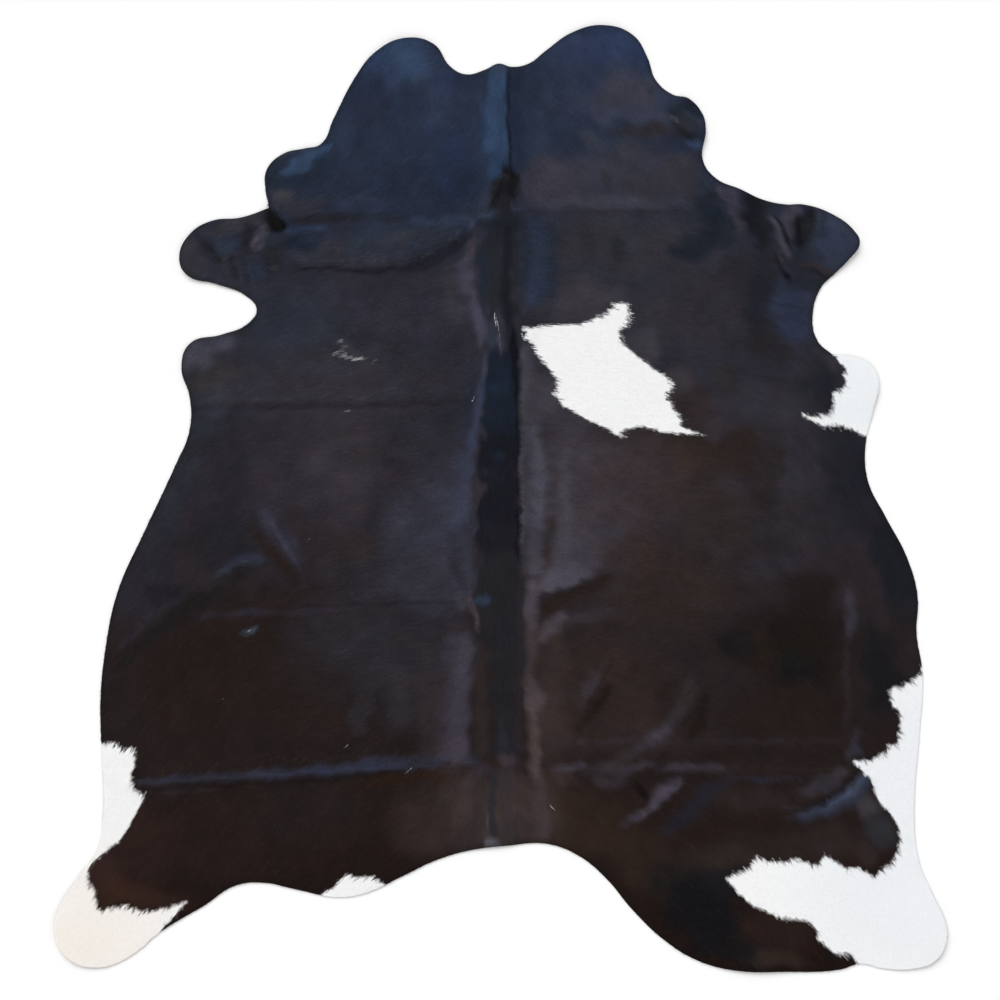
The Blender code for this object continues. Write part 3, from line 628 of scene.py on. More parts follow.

# Strokes along folds, creases, the spine and the lie of the hair. Most are painted light: painted highlights
# and sheen on ridges, fold crests and beside the spine, and painted shade in creases, pockets and hollows.
# The rest are the coat's own tones and pale hairs.
STROKES = [Stroke(*row) for row in (
    ("shoulder fold, middle shade", 7, (28, 29, 36), 0.6, ((-59, 660, 4.8), (8, 672, 4.8))),
    ("left shoulder, shank side", 14, (46, 46, 55), 0.5, ((-515, 593, 10), (-481, 569, 10))),
    ("rib fold, left", 24, (38, 35, 39), 0.7, (
        (-740, 216, 3.6), (-577, 218, 4.8), (-409, 221, 4.8), (-241, 226, 3.4), (-49, 233, 3.4)), 7),
    ("rib fold, left light", 12, (50, 50, 57), 0.5, (
        (-736, 235, 4.8), (-625, 238, 6), (-481, 240, 6), (-289, 242, 4.8))),
    ("belly arc, pale side", 14, (45, 42, 51), 0.5, ((-918, -358, 7), (-851, -295, 10), (-769, -242, 7))),
    ("loin fold, left light", 10, (46, 42, 51), 0.65, (
        (-721, -281, 4.8), (-587, -271, 7), (-457, -271, 6), (-337, -259, 4.8))),
    ("loin fold, left", 7, (34, 30, 34), 0.5, ((-481, -259, 3.8), (-241, -250, 4.3), (-73, -245, 3.6))),
    ("loin, right dent", 14, (37, 30, 30), 0.85, (
        (85, -271, 7), (124, -247, 12), (172, -223, 12), (220, -199, 10), (268, -178, 4.8))),
    ("loin, right light", 14, (60, 55, 64), 0.6, (
        (80, -223, 10), (133, -194, 14), (191, -170, 12), (253, -151, 4.8))),
    ("rump fold, left light", 11, (44, 44, 56), 0.9, (
        (-875, -682, 3.6), (-793, -674, 7), (-692, -667, 8), (-572, -660, 10), (-481, -655, 12),
        (-409, -648, 13), (-306, -638, 16), (-215, -636, 15), (-145, -626, 13), (-92, -619, 11),
        (-49, -636, 3.6))),
    ("rump fold, left bright", 10, (48, 51, 68), 0.6, (
        (-625, -665, 3.4), (-505, -658, 7), (-421, -650, 8), (-356, -646, 4.8), (-289, -641, 7),
        (-217, -641, 4.8))),
    ("rump fold, left shade", 8, (26, 21, 22), 0.8, (
        (-851, -698, 3.4), (-673, -684, 4.8), (-481, -677, 6), (-337, -662, 5), (-241, -658, 3.4))),
    ("rump fold, right shade", 10, (32, 26, 25), 0.6, ((479, -617, 4.8), (647, -614, 10), (791, -622, 7))),
    # The band's glints and pale fan are painted highlights on the ridge of the spine.
    ("spine band at the shoulder", 14, (33, 34, 40), 0.92, (
        (-1, 689, 48), (-1, 598, 50), (1, 478, 50), (1, 362, 46))),
    ("spine band, top", 19, (28, 32, 42), 0.75, ((-40, 665, 12), (-1, 658, 17), (42, 660, 14))),
    ("spine band, blue left side", 17, (31, 36, 47), 0.8, ((-44, 598, 7), (-42, 514, 12), (-40, 444, 10))),
    ("spine band, core", 14, (26, 26, 31), 0.85, (
        (18, 655, 10), (16, 569, 12), (13, 478, 12), (18, 410, 10))),
    ("spine band, fore half", 10, (25, 30, 41), 0.95, ((6, 358, 43), (6, 238, 44), (6, 137, 46))),
    ("spine band, dark middle", 10, (25, 25, 31), 0.95, (
        (6, 156, 46), (4, 70, 49), (1, -14, 54), (1, -98, 55), (4, -146, 53))),
    ("spine band, violet side", 12, (30, 27, 35), 0.7, ((35, 142, 7), (35, -2, 10), (35, -170, 10))),
    ("spine band, hind half", 14, (33, 32, 36), 0.93, (
        (1, -118, 55), (4, -190, 53), (8, -266, 48), (11, -362, 43), (11, -482, 38), (11, -617, 31))),
    ("spine band, red left side", 17, (43, 37, 38), 0.8, (
        (-54, -343, 10), (-49, -482, 19), (-44, -617, 17))),
    ("spine band, violet right side", 12, (39, 33, 38), 0.7, (
        (37, -329, 4.8), (37, -482, 10), (35, -598, 10))),
    ("spine band, glint 1", 14, (30, 38, 52), 0.6, ((-40, 266, 7), (-11, 269, 10), (23, 262, 7))),
    ("spine band, glint 2", 14, (28, 35, 47), 0.7, ((-35, 106, 4.8), (-11, 106, 10), (13, 101, 4.8))),
    ("spine band, glint 3", 14, (40, 41, 48), 0.6, ((4, -516, 4.8), (4, -593, 10))),
    ("spine band, pale fan", 19, (49, 52, 66), 0.8, (
        (-49, 439, 7), (-35, 415, 14), (-23, 386, 17), (-11, 362, 4.8))),
    ("spine band, right dark line", 7, (18, 18, 22), 0.85, (
        (28, 415, 4.8), (32, 374, 10), (35, 329, 10), (40, 238, 4.8), (42, 70, 4.8), (42, -146, 4.8))),
    ("tail, pale crossing", 14, (62, 56, 64), 0.7, ((-11, -624, 8), (13, -624, 12), (37, -629, 7))),
    ("tail, right of the line", 19, (51, 45, 48), 0.8, ((13, -646, 19), (18, -722, 22), (16, -814, 22))),
    ("tail, brown left", 22, (45, 39, 40), 0.7, ((-54, -655, 14), (-49, -722, 17), (-54, -809, 19))),
    ("tail, line", 10, (36, 37, 42), 0.8, ((-18, -641, 7), (-18, -722, 8), (-18, -809, 10))),
    ("spine of the neck, lit side", 10, (41, 56, 81), 0.92, (
        (-1, 1054, 10), (-4, 1006, 17), (-6, 970, 22), (-11, 922, 26), (-11, 874, 26), (-8, 833, 19),
        (-11, 794, 14), (-16, 766, 10)), 22),
    ("spine of the neck, high glow", 19, (48, 64, 90), 0.65, (
        (-1, 1020, 7), (-4, 991, 14), (-4, 967, 14), (-1, 948, 7))),
    ("spine of the neck, middle glow", 19, (49, 64, 92), 0.7, (
        (-16, 948, 7), (-18, 919, 13), (-20, 886, 12))),
    ("spine of the neck, low glow", 19, (48, 64, 92), 0.7, ((-20, 886, 12), (-18, 859, 14), (-13, 835, 7))),
    ("spine of the neck, right glow", 10, (50, 66, 92), 0.55, (
        (13, 876, 2.4), (12, 847, 4.3), (13, 806, 4.8))),
    ("spine of the neck, top of the far side", 14, (28, 34, 47), 0.8, (
        (25, 1030, 7), (40, 1018, 14), (35, 977, 10))),
    ("spine of the neck, far side", 19, (32, 37, 53), 0.75, ((32, 958, 10), (42, 886, 19), (52, 809, 19))),
    ("spine of the neck, crease", 5, (18, 23, 33), 0.88, (
        (18, 1034, 2.9), (18, 991, 3.1), (19, 958, 4.3), (18, 929, 1.9), (19, 895, 2.6), (22, 857, 3.4),
        (24, 823, 4.8), (24, 794, 4.8))),
    ("neck triangle", 12, (25, 24, 28), 0.94, (
        (18, 780, 10), (13, 756, 22), (6, 732, 34), (4, 703, 43), (1, 686, 41))),
    ("neck triangle, dark right side", 12, (21, 19, 23), 0.8, (
        (28, 756, 10), (32, 727, 14), (35, 710, 12))),
    ("neck triangle, left rim", 7, (48, 49, 60), 0.6, ((-23, 761, 2.4), (-40, 732, 3.8), (-49, 706, 4.8))),
    ("notch in the neck spine", 7, (14, 15, 19), 0.95, (
        (4, 799, 2.4), (18, 787, 8), (32, 775, 11), (40, 758, 6))),
    ("right of the spine, blue", 29, (38, 44, 60), 0.88, (
        (80, 674, 14), (90, 631, 26), (92, 569, 31), (85, 511, 31), (71, 463, 19))),
    ("right of the spine, blue glow", 24, (44, 49, 67), 0.8, (
        (97, 607, 7), (97, 564, 17), (88, 516, 19), (71, 478, 12))),
    ("right of the spine, pale foot", 19, (50, 54, 71), 0.7, ((68, 506, 4.8), (64, 478, 10), (59, 444, 7))),
    ("right of the spine, edge of the blue", 17, (33, 39, 50), 0.7, (
        (121, 665, 10), (128, 574, 12), (124, 478, 10))),
    ("right of the spine, tail strip", 19, (58, 49, 52), 0.88, (
        (95, -660, 12), (97, -722, 19), (97, -814, 19))),
    ("right loin, oval", 17, (45, 38, 38), 0.9, (
        (124, -31, 3.6), (119, -70, 12), (112, -118, 16), (100, -161, 12), (95, -175, 4.8))),
    ("left of the spine, pale top", 14, (54, 49, 58), 0.8, ((-68, 655, 6), (-71, 610, 7), (-73, 578, 7))),
    ("left of the spine, pale lobe", 19, (63, 61, 75), 0.9, (
        (-78, 588, 7), (-83, 554, 19), (-80, 518, 19), (-71, 487, 10))),
    ("left of the spine, pale edge", 12, (63, 61, 75), 0.85, (
        (-68, 502, 7), (-61, 458, 10), (-54, 425, 12), (-47, 396, 12), (-52, 362, 3.6))),
    ("left of the spine, blue side", 24, (37, 41, 53), 0.7, (
        (-68, 334, 12), (-73, 274, 17), (-73, 214, 17), (-83, 146, 17))),
    ("left of the spine, pale line", 10, (51, 55, 72), 0.8, (
        (-28, 355, 3.6), (-37, 329, 4.8), (-44, 290, 6), (-49, 247, 7))),
    ("left of the spine, low pale line", 12, (53, 56, 76), 0.85, (
        (-49, 262, 6), (-52, 209, 6), (-59, 161, 7), (-68, 113, 10)), 19),
    ("loin, slanted line", 4, (70, 66, 76), 0.85, (
        (-88, -206, 1.9), (-73, -250, 3.1), (-68, -264, 4.8), (-59, -290, 2.9), (-49, -319, 2.2))),
    ("loin fold, bright end", 7, (48, 58, 78), 0.85, ((-66, -245, 3.6), (-42, -242, 7), (-20, -240, 3.6))),
    ("left cheek, under the wedge", 19, (34, 41, 54), 0.8, (
        (-548, 763, 7), (-515, 758, 12), (-472, 766, 12), (-424, 785, 7))),
    ("left cheek, blue wedge", 12, (50, 66, 93), 0.92, (
        (-529, 782, 3.6), (-505, 787, 12), (-481, 802, 18), (-457, 814, 19), (-436, 830, 14),
        (-409, 845, 4.8))),
    ("left cheek, wedge end", 7, (58, 76, 104), 0.6, ((-443, 833, 3.6), (-421, 842, 6), (-400, 850, 3.6))),
    ("shoulder fold, left crease", 14, (36, 34, 39), 0.85, (
        (-500, 672, 4.8), (-462, 670, 10), (-404, 672, 10), (-332, 677, 7))),
    ("shoulder fold, left crease end", 14, (37, 39, 48), 0.8, (
        (-371, 674, 7), (-299, 674, 10), (-251, 674, 8), (-217, 670, 2.4))),
    ("shoulder fold, right of left", 19, (47, 55, 74), 0.85, (
        (-222, 670, 4.8), (-179, 667, 12), (-136, 665, 14), (-97, 670, 10), (-64, 665, 4.8))),
    ("shoulder fold, bright spot", 10, (62, 64, 80), 0.8, (
        (-71, 679, 3.6), (-66, 665, 7), (-71, 650, 3.6))),
    ("strip under the left cheek", 10, (43, 52, 74), 0.9, (
        (-529, 638, 4.8), (-491, 643, 10), (-457, 646, 11), (-424, 646, 6))),
    ("strip under the left cheek, glint", 7, (50, 62, 82), 0.6, (
        (-481, 648, 2.4), (-452, 650, 3.6), (-428, 643, 3.6))),
    ("shoulder wrinkle, upper side", 22, (47, 47, 56), 0.6, (
        (-491, 578, 10), (-409, 571, 14), (-337, 564, 10))),
    ("shoulder wrinkle, thin line", 5, (26, 23, 27), 0.9, (
        (-505, 564, 1.2), (-481, 556, 2.2), (-438, 553, 2.9), (-385, 550, 3.1), (-323, 550, 2.9))),
    ("shoulder wrinkle, broad line", 14, (31, 29, 36), 0.88, (
        (-337, 547, 3.6), (-289, 547, 7), (-236, 552, 10), (-193, 564, 12), (-155, 576, 13),
        (-121, 595, 14), (-88, 619, 10), (-68, 641, 3.6))),
    ("shoulder wrinkle, wide shade", 29, (33, 34, 43), 0.6, (
        (-217, 569, 10), (-145, 602, 22), (-92, 626, 17))),
    ("left shoulder, wisp 1", 14, (50, 50, 61), 0.7, ((-426, 641, 4.8), (-421, 612, 10), (-424, 583, 7))),
    ("left shoulder, wisp 2", 14, (49, 45, 54), 0.6, ((-392, 636, 4.8), (-390, 607, 10), (-392, 583, 4.8))),
    ("left shoulder, wisp 3", 12, (51, 49, 58), 0.7, ((-232, 622, 3.6), (-232, 605, 8), (-224, 583, 4.8))),
    # The lap of the left cheek: a painted shadow under the cheek's edge where it lies over the shank.
    ("lap of the left cheek, shade", 14, (33, 34, 39), 0.85, (
        (-577, 689, 7), (-568, 672, 11), (-560, 655, 7))),
    ("lap of the left cheek, pocket", 10, (13, 14, 17), 0.97, (
        (-560, 698, 7), (-551, 686, 17), (-541, 667, 22), (-532, 646, 17), (-529, 636, 7))),
    ("lap of the left cheek, edge", 6, (42, 52, 64), 0.6, (
        (-544, 703, 1.9), (-524, 686, 3.1), (-510, 660, 2.9))),
    ("left shank, dark diagonal", 14, (33, 31, 36), 0.88, (
        (-733, 641, 3.6), (-714, 617, 8), (-695, 593, 11), (-676, 574, 11), (-656, 566, 4.8))),
    ("left shank, roll hollow", 17, (36, 33, 40), 0.88, (
        (-613, 667, 4.8), (-601, 646, 12), (-601, 624, 16), (-606, 602, 11), (-601, 583, 7))),
    ("left shank, roll crest", 12, (71, 68, 81), 0.9, (
        (-572, 665, 4.8), (-568, 641, 13), (-577, 619, 13), (-594, 600, 7))),
    ("left shank, lower rim", 7, (58, 58, 72), 0.55, (
        (-712, 533, 2.4), (-688, 528, 4.8), (-659, 518, 2.4))),
    ("left shank, specks", 10, (27, 25, 29), 0.8, ((-565, 569, 3.6), (-553, 554, 10), (-544, 542, 4.8))),
    ("left shank, pale speck", 4, (68, 64, 72), 0.85, (
        (-550, 557, 1.7), (-544, 553, 3.1), (-541, 547, 1.4))),
    ("right neck, brown band", 22, (40, 37, 41), 0.85, (
        (253, 876, 4.8), (292, 881, 11), (335, 883, 17), (373, 883, 17), (397, 881, 7))),
    ("right cheek, blue inside", 14, (46, 52, 72), 0.8, ((368, 982, 10), (385, 967, 12), (397, 960, 4.8))),
    ("right cheek, dark inside", 10, (38, 40, 49), 0.75, ((373, 986, 3.6), (359, 979, 7), (361, 962, 7))),
    ("right cheek, low dark", 14, (28, 28, 33), 0.9, (
        (412, 902, 4.8), (428, 886, 12), (450, 874, 12), (476, 871, 7))),
    ("right cheek, core", 10, (22, 22, 27), 0.85, ((424, 888, 2.4), (436, 881, 7), (455, 871, 6))),
    ("right cheek, inner light", 10, (40, 46, 61), 0.8, (
        (440, 931, 3.6), (457, 922, 7), (474, 910, 7), (486, 893, 4.8))),
    ("right cheek, middle", 14, (33, 36, 46), 0.75, ((438, 905, 7), (457, 895, 12), (479, 886, 7))),
    ("right cheek, low light", 10, (48, 62, 89), 0.92, (
        (445, 859, 3.6), (462, 852, 8), (476, 847, 10), (486, 847, 7))),
    ("right cheek, bright line", 4, (100, 97, 108), 0.85, (
        (403, 912, 1), (414, 909, 2.4), (425, 906, 1.2))),
    ("right shoulder, dark blue", 43, (29, 33, 42), 0.95, (
        (484, 737, 24), (508, 689, 41), (522, 646, 41), (488, 617, 31), (445, 598, 22), (402, 588, 10))),
    ("right shank, strip", 12, (55, 53, 66), 0.88, (
        (551, 749, 22), (553, 722, 23), (563, 698, 19), (572, 670, 13), (577, 641, 6))),
    ("right shank, strip foot", 12, (49, 46, 52), 0.7, ((563, 698, 12), (572, 665, 11), (577, 641, 4.8))),
    ("right shank, dark wedge", 22, (25, 26, 31), 0.94, (
        (587, 734, 12), (599, 703, 24), (616, 670, 29), (628, 634, 26), (642, 602, 12))),
    ("right shank, light", 14, (56, 53, 63), 0.92, (
        (704, 703, 14), (697, 679, 19), (692, 650, 16), (695, 617, 6))),
    ("right shank, light top", 10, (61, 63, 75), 0.7, ((704, 701, 8), (714, 689, 7))),
    # The pocket between the right shank's folds is painted shade.
    ("right shank, pocket", 12, (24, 25, 29), 0.94, (
        (740, 706, 7), (738, 679, 18), (728, 650, 23), (721, 622, 17), (716, 598, 7))),
    ("right shank, pocket top", 10, (17, 17, 20), 0.8, ((736, 703, 4.8), (740, 694, 8), (738, 674, 4.8))),
    ("right shank, crest 1", 7, (65, 62, 72), 0.85, (
        (652, 679, 2.4), (664, 650, 4.8), (673, 622, 6), (683, 598, 6), (692, 576, 3.6))),
    ("right shank, crease 1", 5, (16, 15, 19), 0.92, (
        (661, 679, 1.9), (673, 650, 3.6), (684, 624, 3.8), (694, 598, 1.9))),
    ("right shank, crest 2", 5, (58, 55, 63), 0.8, ((664, 600, 1.9), (673, 578, 2.9), (684, 557, 1.9))),
    ("right shank, crease 2", 5, (17, 16, 20), 0.9, ((655, 598, 1.7), (666, 571, 3.4), (680, 547, 4.3))),
    ("right shank, crease 3", 4, (24, 23, 28), 0.7, ((668, 593, 1.7), (678, 576, 2.6), (688, 559, 1.9))),
    ("right shank, notch", 7, (13, 12, 16), 0.95, ((673, 550, 3.6), (683, 540, 8), (695, 528, 3.6))),
    ("right fore back, wisp 1", 12, (51, 49, 60), 0.65, ((517, 607, 2.4), (517, 578, 7), (517, 535, 4.8))),
    ("right fore back, wisp 2", 6, (53, 50, 56), 0.6, ((508, 418, 1.9), (512, 396, 3.4), (512, 370, 1.9))),
    ("flank dent, orange", 26, (38, 29, 27), 0.9, (
        (-596, -46, 2.4), (-592, -79, 8), (-575, -103, 11), (-548, -120, 13), (-527, -142, 13),
        (-512, -170, 12), (-491, -199, 4.8))),
    ("flank dent, light", 29, (51, 50, 63), 0.88, (
        (-577, -22, 4.8), (-560, -60, 14), (-527, -91, 17), (-500, -120, 16), (-481, -163, 7))),
    ("flank dent, light core", 19, (53, 53, 70), 0.6, (
        (-539, -79, 4.8), (-517, -101, 10), (-498, -127, 6))),
    ("flank dent, thin dark", 8, (31, 28, 33), 0.75, ((-584, -60, 3.6), (-572, -86, 6), (-548, -106, 3.6))),
    ("flank, pale patch", 22, (48, 51, 64), 0.9, (
        (-572, -156, 3.6), (-587, -146, 12), (-608, -142, 14), (-630, -151, 12), (-656, -168, 7),
        (-688, -190, 2.4))),
    ("belly arc, left", 31, (31, 28, 29), 0.88, (
        (-932, -415, 7), (-899, -386, 14), (-841, -331, 19), (-779, -286, 22), (-721, -247, 19),
        (-664, -209, 17), (-611, -178, 7))),
    ("hip wrinkle, light 1", 29, (50, 43, 47), 0.85, (
        (256, -386, 3.6), (234, -420, 11), (210, -458, 14), (181, -497, 8))),
    ("hip wrinkle, bright 1", 19, (54, 49, 56), 0.7, ((232, -425, 3.6), (215, -451, 10), (198, -478, 3.6))),
    ("hip wrinkle, dark 1", 19, (31, 23, 21), 0.9, (
        (270, -439, 3.6), (251, -468, 10), (234, -497, 11), (210, -530, 6), (186, -562, 1.9)), 29),
    ("hip wrinkle, dark 2", 19, (39, 31, 29), 0.7, ((340, -386, 4.8), (316, -413, 11), (292, -444, 4.8))),
    ("hip wrinkle, dark 3", 22, (38, 29, 27), 0.7, ((421, -425, 4.8), (395, -463, 12), (371, -497, 4.8))),
    ("hip wrinkle, light 2", 24, (49, 42, 44), 0.85, (
        (464, -420, 3.6), (450, -463, 11), (433, -497, 12), (414, -528, 8))),
    ("hip wrinkle, bright 2", 17, (52, 48, 55), 0.85, (
        (431, -502, 2.9), (412, -528, 7), (392, -557, 10), (368, -576, 12), (342, -588, 11),
        (316, -602, 4.8))),
    ("hip wrinkle, bright 2, core", 10, (64, 60, 70), 0.6, (
        (402, -547, 3.6), (373, -576, 7), (349, -583, 7))),
    ("hip wrinkle, low light", 24, (48, 43, 47), 0.8, (
        (335, -598, 7), (306, -619, 14), (272, -641, 17), (239, -658, 10))),
    ("hip wrinkle, dark 4", 19, (29, 24, 22), 0.9, (
        (500, -473, 4.8), (488, -506, 14), (474, -540, 17), (455, -574, 12), (440, -598, 4.8))),
    ("rump fold, right light 1", 12, (54, 49, 58), 0.88, (
        (116, -648, 4.8), (148, -646, 8), (181, -641, 10), (208, -634, 4.8))),
    ("rump fold, right light 2", 12, (54, 49, 58), 0.8, (
        (287, -650, 7), (320, -648, 8), (349, -638, 8), (366, -631, 4.8))),
    ("rump fold, right light 3", 10, (53, 48, 56), 0.85, (
        (385, -655, 3.6), (412, -643, 7), (455, -641, 8), (508, -643, 7), (546, -643, 3.6)), 17),
    ("rump fold, right dark crossing", 12, (38, 33, 40), 0.75, (
        (364, -653, 4.8), (378, -643, 7), (388, -629, 4.8))),
    ("rump fold, over the spine", 10, (49, 44, 54), 0.75, (
        (-78, -653, 4.8), (-25, -648, 7), (28, -646, 7))),
    ("rump fold, dark gap", 7, (34, 29, 36), 0.85, ((42, -648, 4.8), (59, -653, 7), (78, -650, 3.6))),
    ("rump fold, under the light", 14, (33, 26, 26), 0.7, (
        (335, -667, 7), (383, -665, 10), (455, -674, 12), (517, -672, 10))),
    ("rump left branch", 14, (50, 44, 50), 0.85, (
        (301, -672, 4.8), (272, -682, 10), (239, -682, 12), (220, -674, 4.8))),
    ("rump diagonal, light", 14, (57, 51, 61), 0.95, (
        (287, -785, 2.4), (316, -770, 7), (342, -754, 12), (364, -730, 14), (388, -708, 14),
        (416, -686, 12), (440, -670, 4.8))),
    ("rump diagonal, bright", 12, (70, 64, 77), 0.8, (
        (330, -768, 4.8), (354, -746, 7), (376, -725, 10), (397, -701, 8), (416, -684, 4.8))),
    ("rump diagonal, blue shade", 34, (33, 32, 40), 0.88, (
        (565, -672, 4.8), (517, -689, 12), (484, -715, 17), (455, -746, 17), (421, -778, 14),
        (383, -802, 4.8))),
    ("thigh, blue line", 8, (38, 38, 49), 0.85, (
        (570, -670, 3.6), (623, -672, 6), (680, -671, 7), (724, -672, 3.6))),
    ("thigh, pale band", 17, (50, 47, 53), 0.85, (
        (829, -643, 7), (805, -670, 17), (772, -689, 17), (733, -701, 12), (709, -706, 4.8))),
    ("thigh crease, light", 10, (47, 53, 70), 0.9, (
        (709, -754, 1.2), (738, -751, 3.6), (767, -739, 6), (810, -725, 8), (844, -701, 10),
        (865, -677, 11), (877, -658, 7)), 36),
    ("thigh crease, bright", 10, (63, 69, 88), 0.75, (
        (772, -739, 1.9), (820, -718, 4.8), (851, -694, 8), (870, -670, 7))),
    ("thigh crease, shade", 10, (25, 22, 25), 0.92, (
        (685, -746, 1.9), (719, -744, 3.8), (757, -732, 6), (791, -715, 7), (820, -694, 8), (841, -674, 7),
        (858, -655, 3.8))),
    ("flank flap, pale", 14, (49, 46, 54), 0.85, (
        (860, -552, 6), (846, -578, 11), (851, -605, 14), (839, -629, 7))),
    ("right flank, streak", 19, (41, 37, 41), 0.8, ((829, -338, 4.8), (834, -458, 7), (829, -550, 4.8))),
    ("right of the spine, navy", 14, (35, 39, 50), 0.8, ((59, 679, 10), (59, 598, 11), (61, 516, 7))),
    # The strips right of the spine are painted sheen on the ridge where the hair turns outward.
    ("right of the spine, upper strip", 34, (61, 58, 67), 0.88, (
        (59, 374, 7), (64, 310, 10), (66, 238, 14), (71, 180, 19)), 10),
    ("right of the spine, upper crest", 10, (66, 64, 73), 0.7, (
        (54, 370, 1.2), (54, 305, 3.1), (54, 238, 3.1), (55, 180, 1.9)), 5),
    ("right of the spine, strip", 38, (59, 57, 66), 0.9, (
        (66, 180, 10), (68, 94, 14), (71, -2, 17), (71, -74, 17)), 7),
    ("right of the spine, bright strip", 19, (72, 70, 82), 0.9, (
        (80, 180, 4.8), (83, 127, 5), (90, 89, 10), (95, 50, 17), (92, -14, 14), (83, -70, 7)), 14),
    ("right of the spine, middle strip", 19, (66, 61, 70), 0.9, (
        (76, -65, 10), (76, -110, 11), (80, -151, 12), (80, -185, 12)), 10),
    ("right loin, bright streak", 24, (68, 64, 73), 0.8, (
        (157, 127, 7), (155, 46, 12), (157, -26, 12), (152, -98, 13), (157, -137, 12))),
    ("right loin, bright lobe", 31, (72, 68, 80), 0.93, (
        (80, -228, 7), (104, -214, 12), (138, -199, 18), (169, -187, 18), (200, -178, 12),
        (224, -168, 4.8)), 12),
    ("right loin, crease under the lobe", 10, (40, 31, 28), 0.9, (
        (97, -257, 3.6), (124, -245, 7), (157, -238, 7), (196, -221, 7), (234, -199, 6),
        (265, -170, 2.4)), 38),
    ("right of the spine, low strip", 12, (73, 68, 77), 0.92, (
        (76, -190, 7), (76, -218, 17), (76, -242, 18), (76, -281, 14), (76, -314, 10))),
    ("right of the spine, hind strip", 22, (64, 55, 60), 0.88, (
        (68, -271, 7), (71, -338, 7), (73, -386, 7), (68, -449, 7)), 10),
    ("right of the spine, bulge", 19, (71, 61, 65), 0.88, (
        (64, -444, 10), (76, -463, 17), (83, -482, 22), (73, -509, 12)), 12),
    ("right of the spine, pale edge", 10, (73, 62, 63), 0.93, (
        (78, -497, 4.8), (83, -535, 10), (88, -583, 10), (85, -634, 8), (88, -670, 7)), 24),
    ("right hip, light crease", 14, (67, 61, 68), 0.88, (
        (88, -341, 4.8), (104, -322, 12), (124, -305, 14), (138, -283, 10), (150, -266, 3.6)), 19),
    ("left of the spine, sheen", 17, (55, 58, 75), 0.9, (
        (-68, 118, 4.8), (-73, 70, 7), (-80, 22, 10), (-83, -31, 7), (-88, -65, 4.8)), 72),
    ("left of the spine, smudge", 22, (43, 43, 54), 0.85, (
        (-124, -77, 4.8), (-109, -106, 12), (-107, -146, 14), (-116, -180, 7))),
    ("left of the spine, low sheen", 19, (50, 52, 64), 0.8, (
        (-88, -89, 7), (-78, -137, 8), (-73, -180, 8), (-80, -223, 7))),
    ("loin, slanted line, upper", 12, (55, 54, 66), 0.75, (
        (-152, -130, 1.9), (-131, -168, 4.8), (-104, -204, 7), (-83, -238, 7))),
    ("left of the spine, hind sheen", 24, (61, 57, 68), 0.9, (
        (-83, -314, 4.8), (-83, -358, 17), (-88, -458, 12), (-92, -554, 14), (-95, -631, 17)), 72),
    ("left of the spine, hind sheen foot", 24, (66, 59, 68), 0.75, (
        (-95, -569, 4.8), (-100, -607, 14), (-109, -641, 10)), 34),
    ("hip wrinkle, thin pale line", 7, (56, 49, 54), 0.6, (
        (229, -581, 1.4), (272, -580, 3.4), (320, -576, 4.3), (364, -569, 2.9))),
    ("flecks, soft ground 1", 14, (58, 60, 70), 0.5, (
        (-395, 374, 2.4), (-376, 379, 6), (-356, 365, 4.8), (-385, 348, 6), (-356, 353, 7), (-337, 341, 6),
        (-320, 334, 2.4))),
    ("flank streak, upper", 22, (52, 49, 57), 0.88, (
        (834, -218, 4.8), (839, -266, 13), (839, -310, 12), (836, -338, 4.8))),
    ("left shoulder, dark blue line", 19, (33, 38, 50), 0.75, (
        (-491, 638, 10), (-452, 634, 14), (-414, 631, 10))),
    ("right side, violet brown", 29, (38, 33, 34), 0.8, ((647, 142, 12), (668, 113, 19), (661, 70, 14))),
    ("left of the spine, by the loin fold", 14, (57, 56, 67), 0.8, (
        (-97, -218, 4.8), (-95, -247, 10), (-90, -271, 4.8))),
    ("flecks, soft ground 2", 17, (50, 52, 63), 0.75, (
        (-11, 451, 4.8), (-4, 420, 12), (1, 386, 12), (4, 358, 4.8))),
    ("left cheek, bright end", 10, (51, 64, 90), 0.85, ((-481, 804, 10), (-455, 818, 13), (-433, 835, 11))),
    ("neck triangle, far right side", 12, (33, 36, 44), 0.8, ((40, 751, 4.8), (49, 727, 10), (54, 706, 7))),
    ("tail, violet spot", 12, (62, 56, 66), 0.5, ((-40, -794, 4.8), (-25, -814, 7))),
    ("tail, pale hairs", 10, (88, 90, 98), 0.85, ((-42, -828, 3.6), (-23, -823, 8), (-1, -826, 4.8))),
    ("tail, pale spot", 5, (72, 74, 80), 0.75, ((-30, -758, 1.7), (-29, -780, 3.1))),
    ("spine mark, faint end", 5, (66, 68, 80), 0.85, ((-5, 398, 1.9), (-4, 374, 2.9), (1, 343, 1.7))),
    ("shoulder fold, middle light", 6, (52, 60, 80), 0.75, (
        (-68, 672, 3.6), (-30, 678, 5), (-1, 683, 2.4))),
    ("shoulder fold, right light", 6, (50, 54, 70), 0.75, ((23, 695, 3.4), (52, 697, 4.8))),
    ("shoulder fold, right line", 6, (41, 37, 41), 0.75, (
        (71, 686, 3.1), (191, 688, 3.4), (335, 689, 3.1), (479, 689, 2.4))),
    ("left shank, wrinkle 1", 4, (60, 57, 66), 0.75, (
        (-664, 588, 2.2), (-654, 554, 3.1), (-642, 514, 1.9))),
    ("left shank, wrinkle 2", 4, (22, 20, 24), 0.8, ((-652, 588, 2.2), (-642, 554, 3.1), (-630, 516, 1.9))),
    ("left shank, wrinkle 3", 4, (56, 53, 61), 0.65, (
        (-635, 588, 2.2), (-625, 554, 2.9), (-611, 518, 1.9))),
